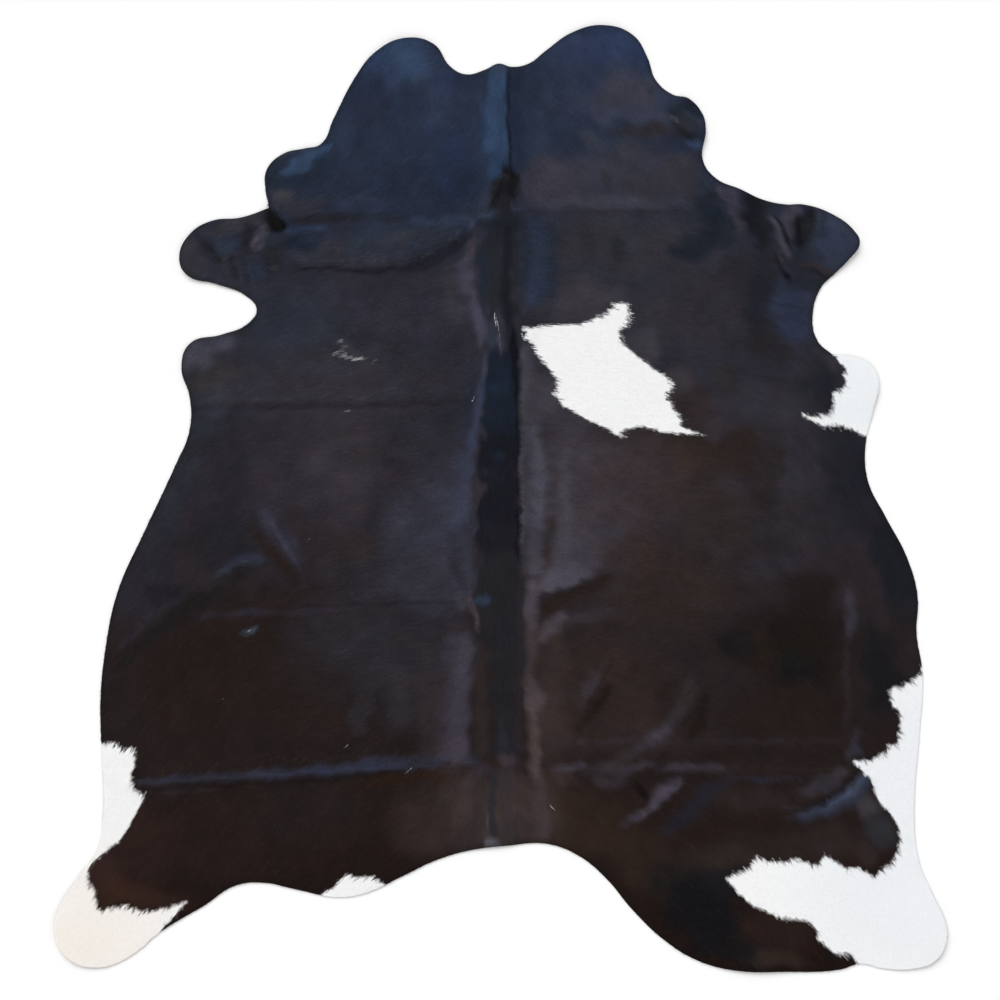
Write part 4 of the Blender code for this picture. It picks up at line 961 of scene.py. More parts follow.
    ("left shank, wrinkle 4", 4, (24, 22, 27), 0.7, ((-623, 583, 1.9), (-611, 550, 2.6), (-599, 514, 1.9))),
    ("left shank, cross wrinkle 1", 4, (24, 22, 27), 0.6, ((-659, 569, 1.9), (-630, 581, 2.4))),
    ("left shank, cross wrinkle 2", 4, (24, 22, 27), 0.5, ((-656, 545, 1.9), (-625, 559, 2.4))),
    ("right shank, long line", 4, (26, 24, 29), 0.7, ((594, 631, 1.9), (623, 598, 2.6), (652, 566, 1.9))),
    ("right shank, lower arc", 6, (50, 42, 43), 0.85, ((714, 564, 2.9), (752, 559, 4.8), (796, 540, 3.4))),
    ("right shank, lower arc shade", 6, (25, 23, 26), 0.7, (
        (719, 552, 2.9), (757, 545, 4.8), (791, 528, 2.4))),
    ("below the right shank, line", 4, (29, 33, 44), 0.6, (
        (647, 478, 1.9), (695, 461, 2.6), (748, 456, 1.9))),
    ("below the right shank, line 2", 4, (31, 35, 47), 0.5, ((652, 516, 1.9), (685, 506, 2.4))),
    ("loin, slanted shade", 5, (33, 32, 39), 0.6, ((-121, -151, 2.4), (-102, -185, 3.4), (-83, -218, 2.4))),
    ("rump fold, right thin", 6, (45, 40, 46), 0.6, (
        (143, -588, 2.4), (335, -581, 3.8), (527, -583, 3.8), (719, -581, 2.9), (820, -583, 2.4))),
    ("right of the spine, groove", 4, (44, 41, 48), 0.75, ((54, 161, 1.9), (59, 70, 2.9), (61, -31, 1.9))),
    ("right of the spine, fine crest", 4, (75, 71, 84), 0.6, (
        (50, 170, 1.9), (52, 46, 2.9), (54, -108, 1.9))),
)]

WHITE = (241, 241, 241)
WHITE_AREAS = [Area(*row) for row in (
    ("left hind foot, cream", -1000, -1080, 330, 330, (243, 237, 231), 0.9),
    ("left hind foot, tan", -1030, -1070, 150, 70, (244, 235, 223), 0.4, 10),
    ("right fore flap", 850, 260, 150, 150, (233, 237, 240), 0.9),
    ("right hind foot", 980, -800, 400, 600, (234, 236, 239), 0.95),
)]

# Single white locks in the dark coat. Each place is the middle of a lock's roots.
FLECKS = [Fleck(*row) for row in (
    ("shoulder 1", -383, 379, 14, 5, 14, 0.2),
    ("shoulder 2", -371, 367, 13, 5, 14, 0.15),
    ("shoulder 3", -378, 358, 12, 6, 14, 0.17),
    ("shoulder 4", -390, 350, 14, 5, 20, 0.25),
    ("shoulder 5", -373, 346, 14, 5, 24, 0.33),
    ("shoulder 6", -359, 341, 14, 4, 24, 0.35),
    ("shoulder 7", -344, 337, 13, 4, 28, 0.42),
    ("shoulder 8", -335, 338, 12, 4, 24, 0.45),
    ("shoulder 9", -323, 338, 11, 4, 14, 0.22),
    ("shoulder 10", -299, 331, 12, 5, 10, 0.12),
    ("spine 1", -14, 440, 13, 1, 6, 0.6),
    ("spine 2", -11, 431, 12, 1, 6, 0.75),
    ("spine 3", -7, 422, 12, 1, 5, 0.5),
    ("spine 4", -5, 413, 12, 1.5, 5, 0.28),
    ("spine 5", -2, 394, 14, 1.5, 4, 0.14),
    ("spine 6", -1, 374, 14, 1.5, 4, 0.1),
    ("back 1", -64, 242, 6, 1.5, 7, 0.7),
    ("back 2", -366, 211, 8, 2, 6, 0.4),
    ("flank", -604, -317, 6, 2, 7, 0.4),
    ("hip 1", -366, -590, 8, 1.5, 7, 0.4),
    ("hip 2", -217, -648, 10, 1.5, 7, 0.4),
    ("rump", 121, -737, 9, 1.5, 8, 0.45),
    ("belly side", -668, -482, 4, 1, 3, 0.3),
    ("rib", -457, -96, 4, 1, 3, 0.4),
)]

REGIONS = (
    Region("neck_hair", -2.0, 2.0, 0.455, 2.0),
    Region("left_side_hair", -2.0, 0.0, -0.30, 0.455),
    Region("right_side_hair", 0.0, 2.0, -0.30, 0.455),
    Region("left_rump_hair", -2.0, 0.0, -2.0, -0.30),
    Region("right_rump_hair", 0.0, 2.0, -2.0, -0.30),
)


# Plain shapes over the floor.


def eased(share):
    """0 up to a share of 0, 1 from a share of 1, and a smooth step 3s^2 - 2s^3 between."""
    share = np.clip(share, 0.0, 1.0)
    return share * share * (3.0 - 2.0 * share)


def fold_height(fold, x, y, fade):
    """Height of one ridge: full on its line, gone at its half widths and past its ends, eased in between."""
    run_x, run_y = fold.x2 - fold.x1, fold.y2 - fold.y1
    length = np.hypot(run_x, run_y)
    along = ((x - fold.x1) * run_x + (y - fold.y1) * run_y) / length
    across = ((y - fold.y1) * run_x - (x - fold.x1) * run_y) / length
    half_width = np.where(across > 0.0, fold.left, fold.right)
    ends = eased(np.minimum(along, length - along) / fade)
    return fold.height * eased(1.0 - np.abs(across) / half_width) * ends


def lift_height(lift, x, y):
    """Height of one curled end: full at its middle, gone at its radius, eased in between."""
    away = np.hypot(x - lift.x, y - lift.y)
    return lift.height * eased(1.0 - away / lift.radius)


def underside(x, y, creases=CREASES):
    """Height of the flesh side over the floor: the highest fold or crease at each place, plus the lifts."""
    height = np.zeros_like(x)
    for fold in FOLDS:
        height = np.maximum(height, fold_height(fold, x, y, FADE))
    for crease in creases:
        height = np.maximum(height, fold_height(crease, x, y, CREASE_FADE))
    for lift in LIFTS:
        height = height + lift_height(lift, x, y)
    return height


def swell(x, y):
    """A sum of plain sine waves, each with its own length, heading, phase and height."""
    height = np.zeros_like(x)
    for wave in WAVES:
        heading = math.radians(wave.heading)
        run = x * math.cos(heading) + y * math.sin(heading)
        height = height + wave.height * np.sin(2.0 * math.pi * run / wave.length + wave.phase)
    return height


def coat_bed(x, y):
    """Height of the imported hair: the underside, plus leather, packed hair and the swell."""
    return underside(x, y) + LEATHER + HAIR_BED + swell(x, y)


def flow(x, y):
    """Unit direction in which the hair lies, as x and y: along the spine it points to the tail, and beside it
    outwards, by an angle below the sideways line that is eased from back to neck, rump and flank. It waves a
    little."""
    head_x, head_y = SPINE_HEAD
    tail_x, tail_y = SPINE_TAIL
    spine = tail_x + (head_x - tail_x) * eased((y - tail_y) / (head_y - tail_y))
    aside = x - spine
    away = np.abs(aside)
    lie = np.full_like(x, LIE_BACK)
    lie += (LIE_NECK - LIE_BACK) * eased((y - NECK_TURN[0]) / NECK_TURN[1])
    lie += (LIE_RUMP - LIE_BACK) * eased((RUMP_TURN[0] - y) / RUMP_TURN[1])
    lie += (LIE_FLANK - lie) * eased((away - FLANK_TURN[0]) / FLANK_TURN[1])
    aside_wave = np.sin(LIE_WAVE_ASIDE * x + LIE_WAVE_SWING * np.sin(LIE_WAVE_BEND * y))
    lie += LIE_WAVE * aside_wave * np.sin(LIE_WAVE_ALONG * y + LIE_WAVE_PHASE)
    near = np.where(aside > 0.0, SPINE_EAST[0], SPINE_WEST[0])
    far = np.where(aside > 0.0, SPINE_EAST[1], SPINE_WEST[1])
    lie += (LIE_SPINE - lie) * (1.0 - eased((away - near) / (far - near)))
    lie = np.radians(lie)
    return np.stack([np.sign(aside) * np.cos(lie), -np.sin(lie)], -1)


# Charts: numbers on a regular grid over the floor, worked out once and read back anywhere.


def chart_places(step):
    """The x and y of a chart's points, as two grids with a row for each y."""
    spans = [high - low for low, high in zip(CHART_LOW, CHART_HIGH, strict=True)]
    counts = [round(span / step) + 1 for span in spans]
    ranges = zip(CHART_LOW, CHART_HIGH, counts, strict=True)
    xs, ys = (np.linspace(low, high, count) for low, high, count in ranges)
    return np.meshgrid(xs, ys)


def read(chart, x, y):
    """The chart's value at each place, weighed between its four nearest points."""
    rows, columns = chart.shape[:2]
    u = (x - CHART_LOW[0]) / (CHART_HIGH[0] - CHART_LOW[0]) * (columns - 1)
    v = (y - CHART_LOW[1]) / (CHART_HIGH[1] - CHART_LOW[1]) * (rows - 1)
    column = np.clip(u.astype(int), 0, columns - 2)
    row = np.clip(v.astype(int), 0, rows - 2)
    right, up = u - column, v - row
    if chart.ndim == 3:
        right, up = right[:, None], up[:, None]
    low = chart[row, column] * (1.0 - right) + chart[row, column + 1] * right
    high = chart[row + 1, column] * (1.0 - right) + chart[row + 1, column + 1] * right
    return low * (1.0 - up) + high * up


def hide_outline():
    """The hide's edge as even steps along a closed Bezier curve through the outline's points."""
    data = bpy.data.curves.new("outline", "CURVE")
    data.dimensions = "2D"
    data.fill_mode = "NONE"
    data.resolution_u = CURVE_STEPS
    points = [point for stretch in OUTLINE for point in stretch.points]
    corners = {stretch.points[-1] for stretch in OUTLINE if stretch.sharp_end}
    spline = data.splines.new("BEZIER")
    spline.bezier_points.add(len(points) - 1)
    spline.use_cyclic_u = True
    for knot, (x, y) in zip(spline.bezier_points, points, strict=True):
        knot.co = (x, y, 0.0)
        handle = "VECTOR" if (x, y) in corners else "AUTO"
        knot.handle_left_type = handle
        knot.handle_right_type = handle
    curve = add_object("outline", data)
    bpy.context.view_layer.update()
    graph = bpy.context.evaluated_depsgraph_get()
    mesh = bpy.data.meshes.new_from_object(curve.evaluated_get(graph))
    places = np.empty(3 * len(mesh.vertices), np.float32)
    mesh.vertices.foreach_get("co", places)
    bpy.data.objects.remove(curve, do_unlink=True)
    bpy.data.meshes.remove(mesh)
    places = places.reshape(-1, 3)[:, :2].astype(float)
    ring = np.vstack([places, places[:1]])
    run = np.concatenate([[0.0], np.cumsum(np.hypot(*np.diff(ring, axis=0).T))])
    even = np.linspace(0.0, run[-1], round(run[-1] / EDGE_STEP) + 1)[:-1]
    ring = np.stack([np.interp(even, run, ring[:, 0]), np.interp(even, run, ring[:, 1])], 1)
    return ring[::-1]  # anticlockwise, so that its left side is the hide


def edge_distance(ring, x, y):
    """Distance of each place to a closed ring of straight steps, positive inside it. A place is inside where
    a line from it to the right crosses the ring an odd number of times."""
    step = np.roll(ring, -1, 0) - ring
    squares = np.maximum((step * step).sum(1), TINY)
    climb = np.where(np.abs(step[:, 1]) < TINY, TINY, step[:, 1])
    distance = np.empty(len(x))
    batches = max(1, len(x) * len(ring) // RING_BATCH)
    for batch in np.array_split(np.arange(len(x)), batches):
        off_x = x[batch, None] - ring[:, 0]
        off_y = y[batch, None] - ring[:, 1]
        share = np.clip((off_x * step[:, 0] + off_y * step[:, 1]) / squares, 0.0, 1.0)
        away = np.hypot(off_x - share * step[:, 0], off_y - share * step[:, 1]).min(1)
        spans = (off_y >= 0.0) != (off_y >= step[:, 1])
        crosses = spans & (off_x < off_y / climb * step[:, 0])
        distance[batch] = np.where(crosses.sum(1) % 2 == 1, away, -away)
    return distance


def in_patches(x, y):
    """Which places lie in a white patch."""
    inside = np.zeros(len(x), bool)
    for patch in PATCHES:
        ring = MM * np.array(patch.points)
        low, high = ring.min(0), ring.max(0)
        near = np.flatnonzero((x > low[0]) & (x < high[0]) & (y > low[1]) & (y < high[1]))
        if len(near):
            inside[near] |= edge_distance(ring, x[near], y[near]) > 0.0
    return inside


# Colours.


def linear(colour):
    """sRGB numbers up to 255 as linear light."""
    share = np.asarray(colour, float) / 255.0
    return np.where(share <= 0.04045, share / 12.92, ((share + 0.055) / 1.055) ** 2.4)


def lay_on(chart, share, colour):
    """Mixes a colour into a chart by each point's share."""
    chart += share[..., None] * (linear(colour) - chart)


def clouds(shape, size, rng):
    """Soft even noise over a chart: random numbers, blurred to spots about this wide, with a spread of 1."""
    waves = np.fft.rfft2(rng.normal(size=shape))
    down, across = np.fft.fftfreq(shape[0], CHART_STEP), np.fft.rfftfreq(shape[1], CHART_STEP)
    fade = np.exp(-2.0 * (np.hypot(down[:, None], across) * size) ** 2)
    field = np.fft.irfft2(waves * fade, shape)
    return field / field.std()


def streaks(x, y, course, rng):
    """Noise drawn out along the lie of the hair: the sum of fine clouds at even steps up and down the course,
    with a spread of 1."""
    fine = clouds(x.shape, STREAK_WIDTH, rng)
    total = np.zeros(x.size)
    for step in np.linspace(-1.0, 1.0, STREAK_STEPS):
        reach = step * STREAK_REACH
        run_x, run_y = reach * course[..., 0].ravel(), reach * course[..., 1].ravel()
        total += read(fine, x.ravel() + run_x, y.ravel() + run_y)
    return (total / total.std()).reshape(x.shape)


def lay_areas(chart, x, y, areas):
    """Mixes in soft turned ovals: full within a third of their reach, gone at it, eased in between."""
    for area in areas:
        turn = math.radians(area.turn)
        off_x, off_y = x - MM * area.x, y - MM * area.y
        along = off_x * math.cos(turn) + off_y * math.sin(turn)
        aside = off_y * math.cos(turn) - off_x * math.sin(turn)
        away = np.hypot(along / (MM * area.reach_x), aside / (MM * area.reach_y))
        lay_on(chart, area.strength * eased(AREA_FALL * (1.0 - away)), area.colour)


def lay_strokes(chart, x, y, strokes, waver_x, waver_y, ragged):
    """Mixes in soft lines through points, whose places waver a little. The half width changes evenly from
    point to point and a little with the ragged noise. A line is full within it less half of its smaller blur,
    fades out over the blur of each side, and is thinned to nothing at both ends."""
    for stroke in strokes:
        points = MM * np.array(stroke.points)
        blurs = MM * stroke.blur, MM * (stroke.right_blur or stroke.blur)
        reach = RAG_ROOM * points[:, 2].max() + max(blurs) + 2.0 * STROKE_WAVER
        low, high = points[:, :2].min(0) - reach, points[:, :2].max(0) + reach
        rows = np.flatnonzero((y[:, 0] >= low[1]) & (y[:, 0] <= high[1]))
        columns = np.flatnonzero((x[0] >= low[0]) & (x[0] <= high[0]))
        window = (slice(rows[0], rows[-1] + 1), slice(columns[0], columns[-1] + 1))
        near_x, near_y = x[window] + waver_x[window], y[window] + waver_y[window]
        steps = np.diff(points[:, :2], axis=0)
        lengths = np.hypot(steps[:, 0], steps[:, 1])
        before = np.concatenate([[0.0], np.cumsum(lengths)])
        away = np.full(near_x.shape, np.inf)
        run = np.zeros(near_x.shape)
        side = np.zeros(near_x.shape)
        for start, step, length, gone in zip(points, steps, lengths, before, strict=False):
            along = ((near_x - start[0]) * step[0] + (near_y - start[1]) * step[1]) / length
            held = np.clip(along, 0.0, length)
            off_x = near_x - start[0] - held * step[0] / length
            off_y = near_y - start[1] - held * step[1] / length
            off = np.hypot(off_x, off_y)
            closer = off < away
            away = np.where(closer, off, away)
            run = np.where(closer, gone + held, run)
            turned = step[0] * (near_y - start[1]) - step[1] * (near_x - start[0])
            side = np.where(closer, turned, side)
        whole = before[-1]
        half_width = np.interp(run, before, points[:, 2]) * (1.0 + STROKE_RAG * ragged[window])
        half_width = half_width - 0.5 * min(blurs)
        taper = eased((np.minimum(run, whole - run) + STROKE_END) / min(STROKE_TAPER, whole / 3.0))
        share = eased(1.0 + (half_width - away) / np.where(side > 0.0, *blurs))
        lay_on(chart[window], stroke.strength * share * taper, stroke.colour)


def dark_chart(x, y, edge, course):
    """The dark coat's colour all over: the shades from neck to tail, then the areas and strokes with their
    painted sheen, highlights and fold shade, whose places waver a little, then mottling, streaks and a warm
    or cool cast, and painted shade along the edge."""
    rng = np.random.default_rng(PAINT_SEED)
    heights = [shade.y for shade in reversed(COAT_SHADES)]
    colours = linear([shade.colour for shade in reversed(COAT_SHADES)])
    chart = np.stack([np.interp(y, heights, colours[:, band]) for band in range(3)], -1)
    waver_x = WAVER * clouds(x.shape, WAVER_SIZE, rng)
    waver_y = WAVER * clouds(x.shape, WAVER_SIZE, rng)
    lay_areas(chart, x + waver_x, y + waver_y, AREAS)
    waver_x = STROKE_WAVER * clouds(x.shape, STROKE_WAVER_SIZE, rng)
    waver_y = STROKE_WAVER * clouds(x.shape, STROKE_WAVER_SIZE, rng)
    lay_strokes(chart, x, y, STROKES, waver_x, waver_y, clouds(x.shape, RAG_SIZE, rng))
    mottle = sum(mottle.share * clouds(x.shape, mottle.size, rng) for mottle in MOTTLES)
    mottle += STREAK_SHARE * streaks(x, y, course, rng)
    cast = CAST_SHARE * clouds(x.shape, CAST_SIZE, rng)
    chart = np.maximum(COAT_GAIN * (chart - GLOSS_LIGHT), LEAST_PAINT)
    # Painted shade along the hide's edge, where the hair curves down over the cut.
    rim = 1.0 - EDGE_PAINTED_SHADE * (1.0 - eased(edge / EDGE_PAINTED_SHADE_REACH))
    return chart * (rim * np.exp(mottle))[..., None] * np.exp(cast[..., None] * CAST)


def white_chart(x, y):
    """The white coat's colour all over: one white and its soft areas."""
    chart = np.broadcast_to(linear(WHITE), (*x.shape, 3)).copy()
    lay_areas(chart, x, y, WHITE_AREAS)
    return WHITE_GAIN * chart


# Meshes.


def add_object(name, data):
    """A new object at the origin, in the scene."""
    thing = bpy.data.objects.new(name, data)
    bpy.context.scene.collection.objects.link(thing)
    return thing


def new_piece(name, points, triangles, colours, materials):
    """A mesh object at the origin from arrays of points, triangles and colours."""
    mesh = bpy.data.meshes.new(name)
    mesh.vertices.add(len(points))
    mesh.vertices.foreach_set("co", points.astype(np.float32).ravel())
    mesh.loops.add(triangles.size)
    mesh.loops.foreach_set("vertex_index", triangles.astype(np.int32).ravel())
    mesh.polygons.add(len(triangles))
    mesh.polygons.foreach_set("loop_start", np.arange(0, triangles.size, 3, dtype=np.int32))
    mesh.update(calc_edges=True)
    layer = mesh.color_attributes.new("coat_colour", "FLOAT_COLOR", "POINT")
    full = np.ones((len(points), 4), np.float32)
    full[:, :3] = colours
    layer.data.foreach_set("color", full.ravel())
    for material in materials:
        mesh.materials.append(material)
    return add_object(name, mesh)


def bake_map(piece, places):
    """Gives a piece its own flat map, from a place between 0 and 1 for each corner."""
    layer = piece.data.uv_layers.new(name="OFBake")
    layer.uv.foreach_set("vector", places.astype(np.float32).ravel())


def lattice(step):
    """Points of a lattice of even triangles over the whole chart."""
    rise = step * math.sqrt(3.0) / 2.0
    xs = np.arange(CHART_LOW[0], CHART_HIGH[0], step)
    ys = np.arange(CHART_LOW[1], CHART_HIGH[1], rise)
    x, y = np.meshgrid(xs, ys)
    x[1::2] += step / 2.0
    return x.ravel(), y.ravel()


def filled(ring, step, edge):
    """Triangles of the area within a ring, on its points and a lattice inside it, as points and corners."""
    x, y = lattice(step)
    held = read(edge, x, y) > INSET * step + RIM_DEPTH
    inner = np.stack([x[held], y[held]], 1)
    places = np.vstack([ring, inner])
    found = geometry.delaunay_2d_cdt(places.tolist(), [], [list(range(len(ring)))], 1, MERGE)
    places = np.array([tuple(place) for place in found[0]])
    return places, np.array(found[2])


def make_hide(ring, charts, materials):
    """The sheet: flesh side, rim and coat bed in one closed mesh. The flesh side and the coat bed are
    triangles at their own heights, and the rim is its profile carried along the outline."""
    count = len(ring)
    along = np.roll(ring, -1, 0) - np.roll(ring, 1, 0)
    along /= np.hypot(along[:, 0], along[:, 1])[:, None]
    outward = np.stack([along[:, 1], -along[:, 0]], 1)
    lines = [ring + rim.out * outward for rim in RIM]
    floor = underside(ring[:, 0], ring[:, 1])
    levels = [floor + rim.height for rim in RIM]
    levels[-1] = coat_bed(lines[-1][:, 0], lines[-1][:, 1])

    flesh, flesh_triangles = filled(lines[0], FLESH_STEP, charts["edge"])
    coat, coat_triangles = filled(lines[-1], TOP_STEP, charts["edge"])
    assert np.allclose(flesh[:count], lines[0], atol=SAME_PLACE)
    assert np.allclose(coat[:count], lines[-1], atol=SAME_PLACE)
    flesh_height = np.concatenate([levels[0], underside(*flesh[count:].T, creases=())])
    coat_height = np.concatenate([levels[-1], coat_bed(*coat[count:].T)])

    between = lines[1:-1]
    first_rim = len(flesh)
    first_coat = first_rim + count * len(between)
    flat = np.vstack([flesh, *between, coat])
    height = np.concatenate([flesh_height, *levels[1:-1], coat_height])
    starts = [0] + [first_rim + count * row for row in range(len(between))] + [first_coat]
    here = np.arange(count)
    after = np.roll(here, -1)
    walls = []
    for low, high in zip(starts[:-1], starts[1:], strict=True):
        walls.append(np.stack([low + here, low + after, high + after], 1))
        walls.append(np.stack([low + here, high + after, high + here], 1))
    triangles = np.vstack([flesh_triangles[:, ::-1], *walls, coat_triangles + first_coat])

    dark = read(charts["dark"], *flat.T)
    white = read(charts["white"], *flat.T)
    # The bed is darker than the hair on it: painted shade under the hair.
    colours = np.where(in_patches(*flat.T)[:, None], WHITE_BED_PAINTED_SHADE * white, BED_PAINTED_SHADE * dark)
    points = np.column_stack([flat, height])
    piece = new_piece("hide_skin", points, triangles, colours, materials)

    slots = np.full(len(triangles), BED_SLOT, np.int32)
    slots[:len(flesh_triangles)] = FLESH_SLOT
    cut_faces = 2 * count * (CUT_RIMS - 1)
    slots[len(flesh_triangles):len(flesh_triangles) + cut_faces] = CUT_SLOT
    piece.data.polygons.foreach_set("material_index", slots)
    piece.data.shade_smooth()

    # On its map the coat fills the left half, with the rim unrolled round it, and the flesh side the right.
    sizes = np.array(CHART_HIGH) - np.array(CHART_LOW)
    profile = np.array([(rim.out, rim.height) for rim in RIM])
    unrolled = np.concatenate([np.cumsum(np.hypot(*np.diff(profile[::-1], axis=0).T))[::-1], [0.0]])
    places = (flat - CHART_LOW) / sizes
    for row, start in enumerate(starts):
        spread = lines[-1] + unrolled[row] * outward
        places[start:start + count] = (spread - CHART_LOW) / sizes
    corners = triangles.ravel()
    half = (0.5, 1.0)
    on_map = places[corners] * half
    flesh_corners = slice(0, 3 * len(flesh_triangles))
    flesh_places = (flat[corners[flesh_corners]] - CHART_LOW) / sizes
    on_map[flesh_corners] = flesh_places * half + (0.5, 0.0)
    bake_map(piece, on_map)
    return piece


def course_of(heading):
    """The unit direction of each heading, as x and y."""
    return np.stack([np.cos(heading), np.sin(heading)], 1)


def left_of(course):
    """Each direction turned by a quarter to the left."""
    return np.stack([-course[:, 1], course[:, 0]], 1)


def lay_hairs(owner, along, across, locks, charts, rng):
    """Straight hairs, each one long triangle: a root as wide as the hair, and a tip that lies downstream of
    it and is drawn in towards its lock's middle line. Returns root and tip on the floor, the triangle's
    points, how far inside the hide's edge each hair is rooted and whether it is white, which the place a
    little downstream of its root says."""
    heading = locks["heading"][owner] + np.radians(rng.normal(0.0, HAIR_TURN, len(owner)))
    course = course_of(heading)
    lock_course = course_of(locks["heading"])[owner]
    lock_side = left_of(lock_course)
    root = locks["place"][owner] + along[:, None] * lock_course + across[:, None] * lock_side
    length = locks["length"][owner] * rng.uniform(*HAIR_LENGTHS, len(owner))
    drawn = (GATHER * across)[:, None] * lock_side
    tip = root + length[:, None] * course - drawn

    # A hair that would hang over the hide's edge is shorter.
    inside, beyond = read(charts["edge"], *root.T), read(charts["edge"], *tip.T)
    overhang = rng.uniform(*OVERHANG, len(owner))
    over = beyond < -overhang
    run_out = np.maximum(inside - beyond, LEAST_RUN)
    share = np.where(over, (np.maximum(inside, 0.0) + overhang) / run_out, 1.0)
    tip = root + (tip - root) * np.minimum(share, 1.0)[:, None]

    tested = PATCH_SHIFT + locks["rag"][owner] + rng.uniform(-HAIR_RAG, HAIR_RAG, len(owner))
    white = in_patches(*(root + tested[:, None] * lock_course).T)
    calm = np.where(white, WHITE_CALM, 1.0)
    side = left_of(course)
    half = 0.5 * locks["width"][owner] * rng.uniform(*HAIR_WIDTHS, len(owner))
    lean = np.tan(np.radians(calm * (locks["lean"][owner] + rng.normal(0.0, HAIR_LEAN, len(owner)))))
    rise = calm * locks["rise"][owner] * rng.uniform(*HAIR_RISES, len(owner))
    rise = rise * np.clip(share, LEAST_RISE, 1.0)
    foot = read(charts["bed"], *root.T) - ROOT_DEPTH
    right = np.column_stack([root - half[:, None] * side, foot + ROOT_DEPTH * 0.5 - half * lean])
    left = np.column_stack([root + half[:, None] * side, foot + ROOT_DEPTH * 0.5 + half * lean])
    top = np.column_stack([tip, read(charts["bed"], *tip.T) + rise])
    points = np.stack([right, top, left], 1)
    return root, tip, points, inside, white


def hair_colours(chart, root, tip, shade, root_painted_shade):
    """Root and tip take the chart's colour where they lie, times the hair's own shade. The root is darker:
    painted shade deep in the coat.
    """
    at_root = read(chart, *root.T) * shade[:, None] * root_painted_shade
    at_tip = read(chart, *tip.T) * shade[:, None]
    return np.stack([at_root, at_tip, at_root], 1)


def grow_coat(charts, materials):
    """The lying hair of the whole hide in locks, in one piece for each region and one for all the white."""
    rng = np.random.default_rng(SEED)
    x, y = lattice(LOCK_STEP)
    x = x + rng.normal(0.0, LOCK_SCATTER * LOCK_STEP, len(x))
    y = y + rng.normal(0.0, LOCK_SCATTER * LOCK_STEP, len(y))
    held = read(charts["edge"], x, y) > -LOCK_REACH
    place = np.stack([x[held], y[held]], 1)
    count = len(place)
    course = read(charts["flow"], *place.T)
    turn = np.radians(rng.normal(0.0, LOCK_TURN, count))
    heading = np.arctan2(course[:, 1], course[:, 0]) + turn
    locks = {
        "place": place,
        "heading": heading,
        "length": HAIR_LENGTH * rng.uniform(*LOCK_LENGTHS, count),
        "rise": HAIR_RISE * rng.uniform(*LOCK_RISES, count),
        "lean": rng.normal(0.0, LOCK_LEAN, count),
        "width": np.full(count, HAIR_WIDTH),
        "rag": rng.uniform(-PATCH_RAG, PATCH_RAG, count),
    }
    lock_shade = np.exp(rng.normal(0.0, LOCK_TONE, count))

    owner = np.repeat(np.arange(count), HAIRS_A_LOCK)
    along = rng.uniform(-LOCK_HALF_LENGTH, LOCK_HALF_LENGTH, len(owner))
    across = rng.uniform(-LOCK_HALF_WIDTH, LOCK_HALF_WIDTH, len(owner))
    root, tip, points, inside, white = lay_hairs(owner, along, across, locks, charts, rng)
    shade = lock_shade[owner] * np.exp(rng.normal(0.0, HAIR_TONE, len(owner)))
    kept = inside > BARE_EDGE

    fleck_points, fleck_colours = fleck_hairs(charts, rng)
    pieces = []
    for region in REGIONS:
        here = kept & ~white
        here &= (root[:, 0] >= region.low_x) & (root[:, 0] < region.high_x)
        here &= (root[:, 1] >= region.low_y) & (root[:, 1] < region.high_y)
        colours = hair_colours(charts["dark"], root[here], tip[here], shade[here], ROOT_PAINTED_SHADE)
        pieces.append(hair_piece(region.name, points[here], colours, materials["dark"]))
    here = kept & white
    pale = 1.0 + WHITE_TONE * (shade[here] - 1.0)
    colours = hair_colours(charts["white"], root[here], tip[here], pale, WHITE_ROOT_PAINTED_SHADE)
    points = np.concatenate([points[here], fleck_points])
    colours = np.concatenate([colours, fleck_colours])
    pieces.append(hair_piece("white_hair", points, colours, materials["white"]))
    return pieces


def fleck_hairs(charts, rng):
    """The single white locks: a few hairs each, that lie on top of the dark ones."""
    place = MM * np.array([(fleck.x, fleck.y) for fleck in FLECKS])
    course = read(charts["flow"], *place.T)
    locks = {
        "place": place,
        "heading": np.arctan2(course[:, 1], course[:, 0]),
        "length": MM * np.array([fleck.length for fleck in FLECKS]),
        "rise": np.full(len(FLECKS), HAIR_RISE),
        "lean": np.zeros(len(FLECKS)),
        "width": np.full(len(FLECKS), FLECK_HAIR_WIDTH),
        "rag": np.zeros(len(FLECKS)),
    }
    owner = np.repeat(np.arange(len(FLECKS)), [fleck.hairs for fleck in FLECKS])
    along = rng.uniform(-FLECK_HALF_LENGTH, FLECK_HALF_LENGTH, len(owner))
    spread = MM * np.array([fleck.spread for fleck in FLECKS])
    across = spread[owner] * rng.uniform(-1.0, 1.0, len(owner))
    root, tip, points, _, _ = lay_hairs(owner, along, across, locks, charts, rng)
    points[:, :, 2] += FLECK_LIFT
    shade = np.array([fleck.shade for fleck in FLECKS])[owner] * rng.uniform(*FLECK_TONES, len(owner))
    colours = hair_colours(charts["white"], root, tip, shade, WHITE_ROOT_PAINTED_SHADE)
    return points, colours


def hair_piece(name, points, colours, material):
    """One mesh of loose triangles. Its map is its plan, so hairs that lie together share a spot on it."""
    triangles = np.arange(3 * len(points)).reshape(-1, 3)
    flat = points.reshape(-1, 3)
    piece = new_piece(name, flat, triangles, colours.reshape(-1, 3), [material])
    low, high = flat[:, :2].min(0), flat[:, :2].max(0)
    bake_map(piece, (flat[:, :2] - low) / (high - low))
    return piece


# Materials.


